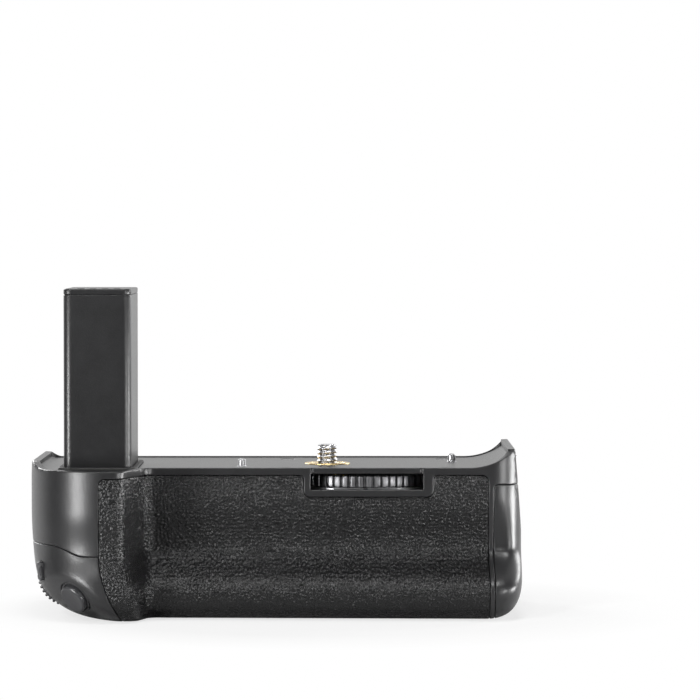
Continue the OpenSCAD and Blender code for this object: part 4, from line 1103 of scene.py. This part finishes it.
bush = {"r": 7.0, "low": 43.0, "lip": 44.8, "high": 45.3, "well": 5.26, "bore": 3.43,
        "groove": (4.9, 5.3, 0.18)}
g0, g1, gd = bush["groove"]
low, lip, high = bush["low"], bush["lip"], bush["high"]
addMade("screwBush", "screw_bush", turned([
    (bush["well"], low, 0), (bush["well"], lip, 0), (bush["bore"], lip, 0), (bush["bore"], high, 0.22),
    (g0, high, 0.05), (g0 + 0.08, high - gd, 0.05), (g1 - 0.08, high - gd, 0.05), (g1, high, 0.05),
    (bush["r"], high, 0.3), (bush["r"], low, 0)], upright, 96, closed=True), 30)

pins = {"spots": [(-26.0, -12.0), (38.7, 12.0)], "seat": 1.65, "r": 1.25, "foot": 43.0, "plate": 45.0,
        "top": 47.4}
r, top, plate, foot = pins["r"], pins["top"], pins["plate"], pins["foot"]
addMade("locatingPins", "locating_pins", joined(*[turned([
    (0, top, 0), (0.45, top - 0.02, 0.3), (r - 0.1, top - 0.4, 0.35), (r, plate + 0.3, 0.1),
    (r + 0.05, plate, 0.04), (pins["seat"], plate, 0.08), (pins["seat"], foot, 0), (0, foot, 0)],
    uprightAt(x, y, 0), 40)
    for x, y in pins["spots"]]), 40)
print("clamp pieces made")


# plug that fills the battery chamber, with its cap, contacts and gasket
plug = {"x": -69.0, "y": -10.0, "wide": 20.4, "deep": 37.8, "round": 2.5, "wall": 1.8,
        "low": 41.8, "capAt": 97.5, "top": 99.3, "slots": [-5.4, -1.8, 1.8, 5.4], "slotIn": 7,
        "slot": (1.8, 8.0, 0.25), "contact": (1.7, 7.9, 0.2), "contactZ": (94.8, 98.7),
        "gasketOut": (3.4, 3.6), "gasketIn": (0.1, 2.55), "gasketZ": (44.5, 45.6)}
slotY = plug["y"] - plug["deep"] / 2 + plug["slotIn"]


def plugPath(more, r):
    return rectPath(plug["x"], plug["y"], plug["wide"] + more, plug["deep"] + more, r)


addMade("plugShell", "tower_shell", slab(
    [plugPath(0, plug["round"]), plugPath(-2 * plug["wall"], 1.2)], plug["low"], plug["capAt"], 0.22,
    upright, 3.0))
addMade("plugCap", "tower_cap", slab(
    [plugPath(0, plug["round"])] + [rectPath(plug["x"] + d, slotY, *plug["slot"]) for d in plug["slots"]],
    plug["capAt"], plug["top"], 0.4, upright, 1.6))
addMade("plugContacts", "tower_contacts", joined(*[slab(
    [rectPath(plug["x"] + d, slotY, *plug["contact"])], *plug["contactZ"], 0.12, upright)
    for d in plug["slots"]]))
addMade("plugGasket", "tower_gasket", slab(
    [plugPath(*plug["gasketOut"]), plugPath(*plug["gasketIn"])], *plug["gasketZ"], 0.35, upright, 2.0))
print("plug pieces made")


# plate that the camera stands on, dished at its right end
seat = {"inset": 2.5, "left": -87.5, "right": 56.3, "drop": 0.3, "thick": 1.7, "edge": 0.25, "fineTo": -52,
        "highest": 51.3, "bushR": 7.03, "gasket": (3.5, 3.65), "screwR": 2.3}
plateScrews = [(wheel["at"][0] + d, y) for d in (-24.3, 24.3) for y in (-20.7, 21.35)]


def seatPlate():
    p = seat
    xs = np.concatenate([lineUp(p["left"], p["fineTo"], 0.5)[:-1], lineUp(p["fineTo"], p["right"], 0.9)])
    near = np.minimum(frontAt(xs, np.minimum(topAt(xs), grip["topZ"])) + p["inset"], 20.0)
    far = np.maximum(backAt(xs) - p["inset"], 20.5)
    sides = [np.stack([np.full(len(l), x), l], -1) for x, l in (
        (p["right"], lineUp(near[-1], far[-1], 0.8)[1:-1]), (p["left"], lineUp(far[0], near[0], 0.8)[1:-1]))]
    loop = np.concatenate([np.stack([xs, near], -1), sides[0], np.stack([xs, far], -1)[::-1], sides[1]])
    holes = [circlePath(0, 0, p["bushR"], 72), plugPath(*p["gasket"])]
    holes += [circlePath(x, y, pins["seat"] + 0.02, 40) for x, y in pins["spots"]]
    holes += [circlePath(x, y, p["screwR"], 40) for x, y in plateScrews]
    sheet = makeSheet([loop, *holes], 1.3, p["edge"])
    x, y = sheet["flat"].T
    e = 0.02
    slope = (topAt(x + e) - topAt(x - e)) / (2 * e)
    nrm = np.stack([-slope, 0 * x, np.ones(len(x))], -1)
    nrm /= np.linalg.norm(nrm, axis=1)[:, None]
    pos = np.stack([x, y, np.minimum(topAt(x), p["highest"]) - p["drop"]], -1)
    return thicken(pos, nrm, sheet["inset"], sheet["tris"], p["thick"])


addMade("seatPlate", "top_plate", seatPlate())
print("seat plate made")


# shutter button in its collar, function button and control dial
button = {"r": 4.6, "bore": 4.72, "sleeve": 5.3, "body": 6.0, "dish": 26.0, "dishR": 25.0,
          "flange": (5.05, 6.2, 7.1), "stem": (1.5, 9.0)}
facing = frameOf(facet["p"], facet["inward"])
dish = [(r, math.sqrt(button["dishR"] ** 2 - r * r) - button["dish"], 0) for r in (0, 1.0, 2.0, 3.0, 3.6)]
r, (rf, z0, z1), (rs, zs) = button["r"], button["flange"], button["stem"]
addMade("shutterButton", "shutter_button", turned(
    dish + [(4.12, -1.3, 0.3), (4.5, -0.95, 0.25), (r, -0.4, 0), (r, z0, 0), (rf, z0, 0), (rf, z1, 0),
            (rs, z1, 0), (rs, zs, 0), (0, zs, 0)], facing, 96, 0.08))
rb, rs, ro = button["bore"], button["sleeve"], button["body"]
addMade("shutterCollar", "shutter_collar", turned(
    [(rb, 0.35, 0.1), (rs, 0.35, 0.1), (rs, 5.9, 0), (ro, 5.9, 0), (ro, 12.9, 0), (rs, 12.9, 0), (rs, 6.4, 0),
     (rb, 6.4, 0)], facing, 96, closed=True))
f = functionAt
addMade("functionButton", "function_button", slab(
    [stadiumPath(f["r"], f["half"])], f["low"], f["high"], f["edge"],
    frameOf(f["p"], [-v for v in f["inward"]]), 0.5))
d = dialAt
addMade("controlDial", "control_dial", toothed(
    d["ribs"], d["r"], d["deep"], d["wide"], d["soft"], d["bore"], rearFrame(d["x"], d["z"], d["y"]),
    d["rise"], d["flat"], per=12))
print("front controls made")


# controls on the back
rearButton = {"x": -79.4, "r": 2.8, "flange": 3.3, "flangeTop": 30.1, "foot": 28.3, "top": 33.8, "spots": (
    ("focusStartButton", "focus_start_button", 35.0), ("exposureLockButton", "exposure_lock_button", 25.3),
    ("focusPointButton", "focus_point_button", 15.6))}
b = rearButton
r, rf, top, zf, foot = b["r"], b["flange"], b["top"], b["flangeTop"], b["foot"]
for name, node, z in b["spots"]:
    addMade(name, node, turned(
        [(0, top, 0), (1.0, top - 0.03, 0), (1.8, top - 0.1, 0), (2.45, top - 0.3, 0.35),
         (r, top - 0.85, 0.3), (r, zf, 0), (rf, zf, 0.1), (rf, foot, 0), (0, foot, 0)],
        rearFrame(b["x"], z), 64, 0.1))

stick = {"x": -72.5, "z": 20.5, "bezel": (3.9, 4.65, 30.5, 33.3), "disc": (2.7, 33.8, 34.95), "dish": 34.6,
         "neck": (1.1, 28.9), "ball": (1.6, 27.5), "knurl": (1.75, 8, 0.34, 34.5, 34.9)}
stand = rearFrame(stick["x"], stick["z"])
r0, r1, y0, y1 = stick["bezel"]
addMade("joystickBezel", "joystick_bezel", turned(
    [(r0, y0, 0), (r0, y1, 0.3), (r1, y1 - 0.05, 0.3), (r1, y0, 0)], stand, 72, closed=True))
rk, count, wide, k0, k1 = stick["knurl"]
knurl = [slab([rectPath(rk * math.cos(a), rk * math.sin(a), wide, wide, 0.12)], k0, k1, 0.12, stand, 0.3)
         for a in np.arange(count) * 2 * math.pi / count]
(rd, y0, y1), mid, (rn, yn), (rb, yb) = stick["disc"], stick["dish"], stick["neck"], stick["ball"]
addMade("joystickCap", "joystick_cap", joined(turned(
    [(0, mid, 0), (1.0, mid + 0.05, 0), (1.9, mid + 0.18, 0), (2.35, y1, 0.15), (rd, y1 - 0.15, 0.18),
     (rd, y0, 0.2), (rn, y0, 0), (rn, yn, 0), (rb, yn, 0.2), (rb, yb, 0.2), (0, yb, 0)],
    stand, 64, 0.08), *knurl))

lever = {"x": -72.5, "z": 31.0, "r": 3.4, "top": 34.2, "low": 33.2, "stem": 1.5, "foot": (2.6, 30.4, 29.1),
         "tab": (0, -3.5, 2.0, 5.0, 0.7), "tabTop": 34.8}
stand = rearFrame(lever["x"], lever["z"])
r, top, low, rs, (rf, y1, y0) = lever["r"], lever["top"], lever["low"], lever["stem"], lever["foot"]
addMade("areaLever", "area_lever", joined(
    turned([(0, top, 0), (2.4, top, 0.1), (r, top - 0.15, 0.3), (r, low, 0.15), (rs, low, 0), (rs, y1, 0),
            (rf, y1, 0), (rf, y0, 0), (0, y0, 0)], stand, 64, 0.1),
    slab([rectPath(*lever["tab"])], low, lever["tabTop"], 0.35, stand, 0.6)))

switch = {"x": -52.2, "z": 12.0, "knob": (4.8, 3.0, 0.6), "knobY": (27.2, 33.6), "foot": (9.2, 6.0, 0.5),
          "footY": (26.2, 30.5), "ridges": (-1.4, 0, 1.4), "ridge": (0.55, 2.3, 0.2), "ridgeY": (33.2, 34.0)}
stand = rearFrame(switch["x"], switch["z"])
addMade("powerSwitch", "power_switch", joined(
    slab([rectPath(0, 0, *switch["knob"])], *switch["knobY"], 0.3, stand, 0.7),
    slab([rectPath(0, 0, *switch["foot"])], *switch["footY"], 0.2, stand, 1.5),
    *[slab([rectPath(x, 0, *switch["ridge"])], *switch["ridgeY"], 0.2, stand, 0.5)
      for x in switch["ridges"]]))

pad = {"low": 32.1, "high": 33.0, "edge": 0.35}
px, pz, wide, tall, r = rearHoles["pad"]
addMade("rearCover", "rear_rubber", slab(
    [rectPath(0, 0, wide, tall, r)], pad["low"], pad["high"], pad["edge"], rearFrame(px, pz),
    leather["step"], grain=leatherGrain), 40)
print("rear controls made")


# lock in the magazine's cap
lockFrame = frameOf((0, lock["y"], lock["z"]), (1, 0, 0), (0, 0, -1))
cup = {"bore": 2.15, "back": 55.2, "flange": 10.4, "flangeTop": 57.2, "r": 9.5}
rr, brim, floor = lock["recess"], lock["brim"], lock["floor"]
addPiece("capCup", *turned(
    [(rr, brim, 0), (rr, floor, 0.3), (cup["bore"], floor, 0.1), (cup["bore"], cup["back"], 0),
     (cup["flange"], cup["back"], 0), (cup["flange"], cup["flangeTop"], 0), (cup["r"], cup["flangeTop"], 0),
     (cup["r"], brim, 0)], lockFrame, 96, closed=True),
    body=bodyOf["magazine_cap"], finish=finishes["shell_plastic"], slot="shell_plastic", sharp=35,
    outward=True)


def arcPath(r, a0, a1, count):
    t = np.linspace(a0, a1, count)
    return np.stack([r * np.cos(t), r * np.sin(t)], -1)


t0, t1, deep = lock["trough"]
a1, a0 = math.acos(-0.9 / t1), math.acos(-0.9 / t0)
trough = densify(np.concatenate([arcPath(t1, -a1, a1, 60), arcPath(t0, a0, -a0, 48)]), 0.5)
addMade("lockKnob", "lock_knob", joined(
    slab([circlePath(0, 0, lock["r"], 120)], lock["back"], lock["face"], lock["edge"], lockFrame, 1.0,
         [(trough, deep)]),
    rod(*lock["stem"], lockFrame, 32)))
bail = {"r": 6.5, "half": 0.8, "thick": 1.2, "soft": 0.35, "low": 57.35,
        "pivotX": 57.95, "pivots": (-6.8, 6.8), "pivotR": 0.55, "pivotHalf": 1.2}
half, thick, soft = bail["half"], bail["thick"], bail["soft"]
section = roundedPath([(-half, 0, soft), (half, 0, soft), (half, thick, soft), (-half, thick, soft)],
                      chord=0.1)
out, rise = bail["r"] + section[:, 0], bail["low"] + section[:, 1]
v, f = rings([np.stack([out * math.cos(t), out * math.sin(t), rise], -1)
              for t in np.linspace(-math.pi / 2, math.pi / 2, 49)], caps=True)
stand, r, half = rearFrame(bail["pivotX"], lock["z"], lock["y"]), bail["pivotR"], bail["pivotHalf"]
addMade("lockBail", "lock_bail", joined((placed(v, lockFrame), f), *[turned(
    [(0, p - half, 0), (r, p - half, 0.1), (r, p + half, 0.1), (0, p + half, 0)], stand, 24)
    for p in bail["pivots"]]))
print("lock made")


# fasteners, tripod socket and batteries
caseScrew = {"r": 2.1, "head": 1.0, "edge": 0.22, "cross": (1.15, 0.25, 0.7), "shank": (0.92, -0.9, -5.5),
             "baseFace": 0.2, "plateFace": 44.85}


def crossScrew(x, y, face, up):
    stand = frameOf((x, y, face), (0, 0, 1 if up else -1), (1, 0, 0))
    a, b, deep = caseScrew["cross"]
    cross = [(a, -b), (a, b), (b, b), (b, a), (-b, a), (-b, b), (-a, b), (-a, -b), (-b, -b), (-b, -a),
             (b, -a), (b, -b)]
    cross = densify(np.array(cross, float), 0.3)
    head = slab([circlePath(0, 0, caseScrew["r"], 48)], -caseScrew["head"], 0.0, caseScrew["edge"], stand,
                0.6, [(cross, deep)])
    return joined(head, rod(*caseScrew["shank"], stand, 24))


addMade("caseScrews", "case_screws", joined(
    *[crossScrew(x, y, caseScrew["baseFace"], False) for x, y, r in baseHoles[1:]],
    *[crossScrew(x, y, caseScrew["plateFace"], True) for x, y in plateScrews]))

socket = {"r": 3.175, "deep": 0.4, "pitch": 1.27, "low": 0.02, "depth": 5.2, "outer": 5.0,
          "plate": (7.0, 5.6)}
r, high, (rp, zp) = socket["r"], socket["depth"], socket["plate"]
addMade("tripodSocket", "tripod_socket", joined(
    threaded(r, socket["deep"], socket["pitch"], socket["low"], high, upright, wall=socket["outer"] - r),
    rod(rp, high, zp, upright, 48)), 40)

battery = {"long": 56.8, "wide": 38.4, "round": 1.5, "edge": 0.6}
for name, node in (("innerBattery", "battery_inner"), ("outerBattery", "battery_outer")):
    low, high = (np.array(v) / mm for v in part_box(node))
    x, y = (low[:2] + high[:2]) / 2
    addMade(name, node, slab(
        [rectPath(x, y, battery["long"], battery["wide"], battery["round"])],
        low[2], high[2], battery["edge"], upright, 3.0))
print("fasteners, socket and batteries made")


# floor, light and camera
stage = {"lens": 186.6, "place": (0.007, -1.118, 0.1165), "pitch": 1.869, "world": 0.08,
         "floor": (0.7, 0.7, 0.7), "floorR": 0.13, "floorX": -0.0155, "floorSides": 96,
         "fade": (0.075, 0.112, 0.7, 1.0)}
softboxes = {  # place, aim, size and power
    "leftLowBox": ((-0.39, -0.295, 0.01), (-0.074, -0.043, 0.033), (0.11, 0.20), 2.4),
    "leftFrontBox": ((-0.55, -0.85, 0.66), (-0.03, -0.02, 0.02), (0.20, 0.20), 5),
    "rightFrontBox": ((0.50, -0.85, 0.50), (0.02, -0.02, 0.02), (0.12, 0.12), 1.3),
    "rightStrip": ((0.36, -0.03, -0.05), (0.056, -0.022, 0.03), (0.11, 0.24), 3.4),
    "rightLowBox": ((0.36, -0.40, 0.0), (-0.057, -0.035, 0.035), (0.08, 0.16), 1.6),
    "topBox": ((0.05, -0.20, 0.95), (0, 0, 0), (0.30, 0.26), 5),
    "backLeftBox": ((-0.55, 0.80, 0.45), (0, 0, 0.03), (0.35, 0.35), 5),
    "backRightBox": ((0.70, 0.55, 0.35), (0, 0, 0.03), (0.30, 0.30), 4),
}


def addCamera():
    data = bpy.data.cameras.new("studioCamera")
    data.lens, data.sensor_width = stage["lens"], 36
    data.clip_start, data.clip_end = 0.05, 50
    camera = bpy.data.objects.new("studioCamera", data)
    camera.location = stage["place"]
    camera.rotation_euler = (math.radians(90 - stage["pitch"]), 0, 0)
    scene.collection.objects.link(camera)
    scene.camera = camera


def addSoftbox(name, place, aim, size, power):
    data = bpy.data.lights.new(name, "AREA")
    data.shape, data.size, data.size_y = "RECTANGLE", size[0], size[1]
    data.energy = power
    lamp = bpy.data.objects.new(name, data)
    lamp.location = place
    lamp.visible_camera = False
    lamp.rotation_euler = (Vector(aim) - Vector(place)).to_track_quat("-Z", "Y").to_euler()
    scene.collection.objects.link(lamp)


def addFloor(z):
    mesh = bpy.data.meshes.new("paleFloor")
    r, sides = stage["floorR"], stage["floorSides"]
    turns = np.linspace(0, 2 * math.pi, sides + 1)[:-1]
    ring = [(r * math.cos(a) + stage["floorX"], r * math.sin(a), z) for a in turns]
    mesh.from_pydata(ring, [], [tuple(range(sides))])
    floor = bpy.data.objects.new("paleFloor", mesh)
    scene.collection.objects.link(floor)
    finish, tree, shade, where = newFinish("palePaper", stage["floor"], 0.9, gloss=0.2)
    bump(tree, shade, noiseAt(tree, where, 900, 3), 0.15, 0.0001)
    # the floor melts into the backdrop with its distance from the grip
    away = addNode(tree, "VectorMath", {0: where}, "LENGTH").outputs["Value"]
    ray = addNode(tree, "LightPath", {}).outputs["Is Camera Ray"]
    seen = addNode(tree, "Math", {0: ray, 1: spread(tree, away, *stage["fade"])}, "MULTIPLY").outputs["Value"]
    glow = addNode(tree, "Emission", {}).outputs["Emission"]
    mix = addNode(tree, "MixShader", {"Fac": seen, 1: shade.outputs["BSDF"], 2: glow})
    feed(tree, tree.nodes["Material Output"], {"Surface": mix.outputs["Shader"]})
    mesh.materials.append(finish)


def addBackdrop():
    world = bpy.data.worlds.new("paleStudio")
    scene.world = world
    world.use_nodes = True
    tree = world.node_tree
    light = tree.nodes["Background"]
    feed(tree, light, {"Color": (1, 1, 1, 1), "Strength": stage["world"]})
    white = addNode(tree, "Background", {"Color": (1, 1, 1, 1)})
    path = addNode(tree, "LightPath", {})
    # reflections find the white sheet behind the grip, not in front of it
    place = addNode(tree, "TexCoord", {}).outputs["Generated"]
    behind = spread(tree, addNode(tree, "SeparateXYZ", {"Vector": place}).outputs["Y"], 0.25, 0.6)
    seen = addNode(tree, "Math", {0: path.outputs["Is Glossy Ray"], 1: behind}, "MULTIPLY").outputs["Value"]
    for kind in ("Is Camera Ray", "Is Transmission Ray"):
        seen = addNode(tree, "Math", {0: seen, 1: path.outputs[kind]}, "MAXIMUM").outputs["Value"]
    mix = addNode(tree, "MixShader", {
        "Fac": seen, 1: light.outputs["Background"], 2: white.outputs["Background"]})
    feed(tree, tree.nodes["World Output"], {"Surface": mix.outputs["Shader"]})


scene.view_settings.view_transform = "Standard"
addCamera()
addBackdrop()
addFloor(float(cadLow[2]) - 0.00005)
for name, settings in softboxes.items():
    addSoftbox(name, *settings)
print("floor, lights and camera placed")
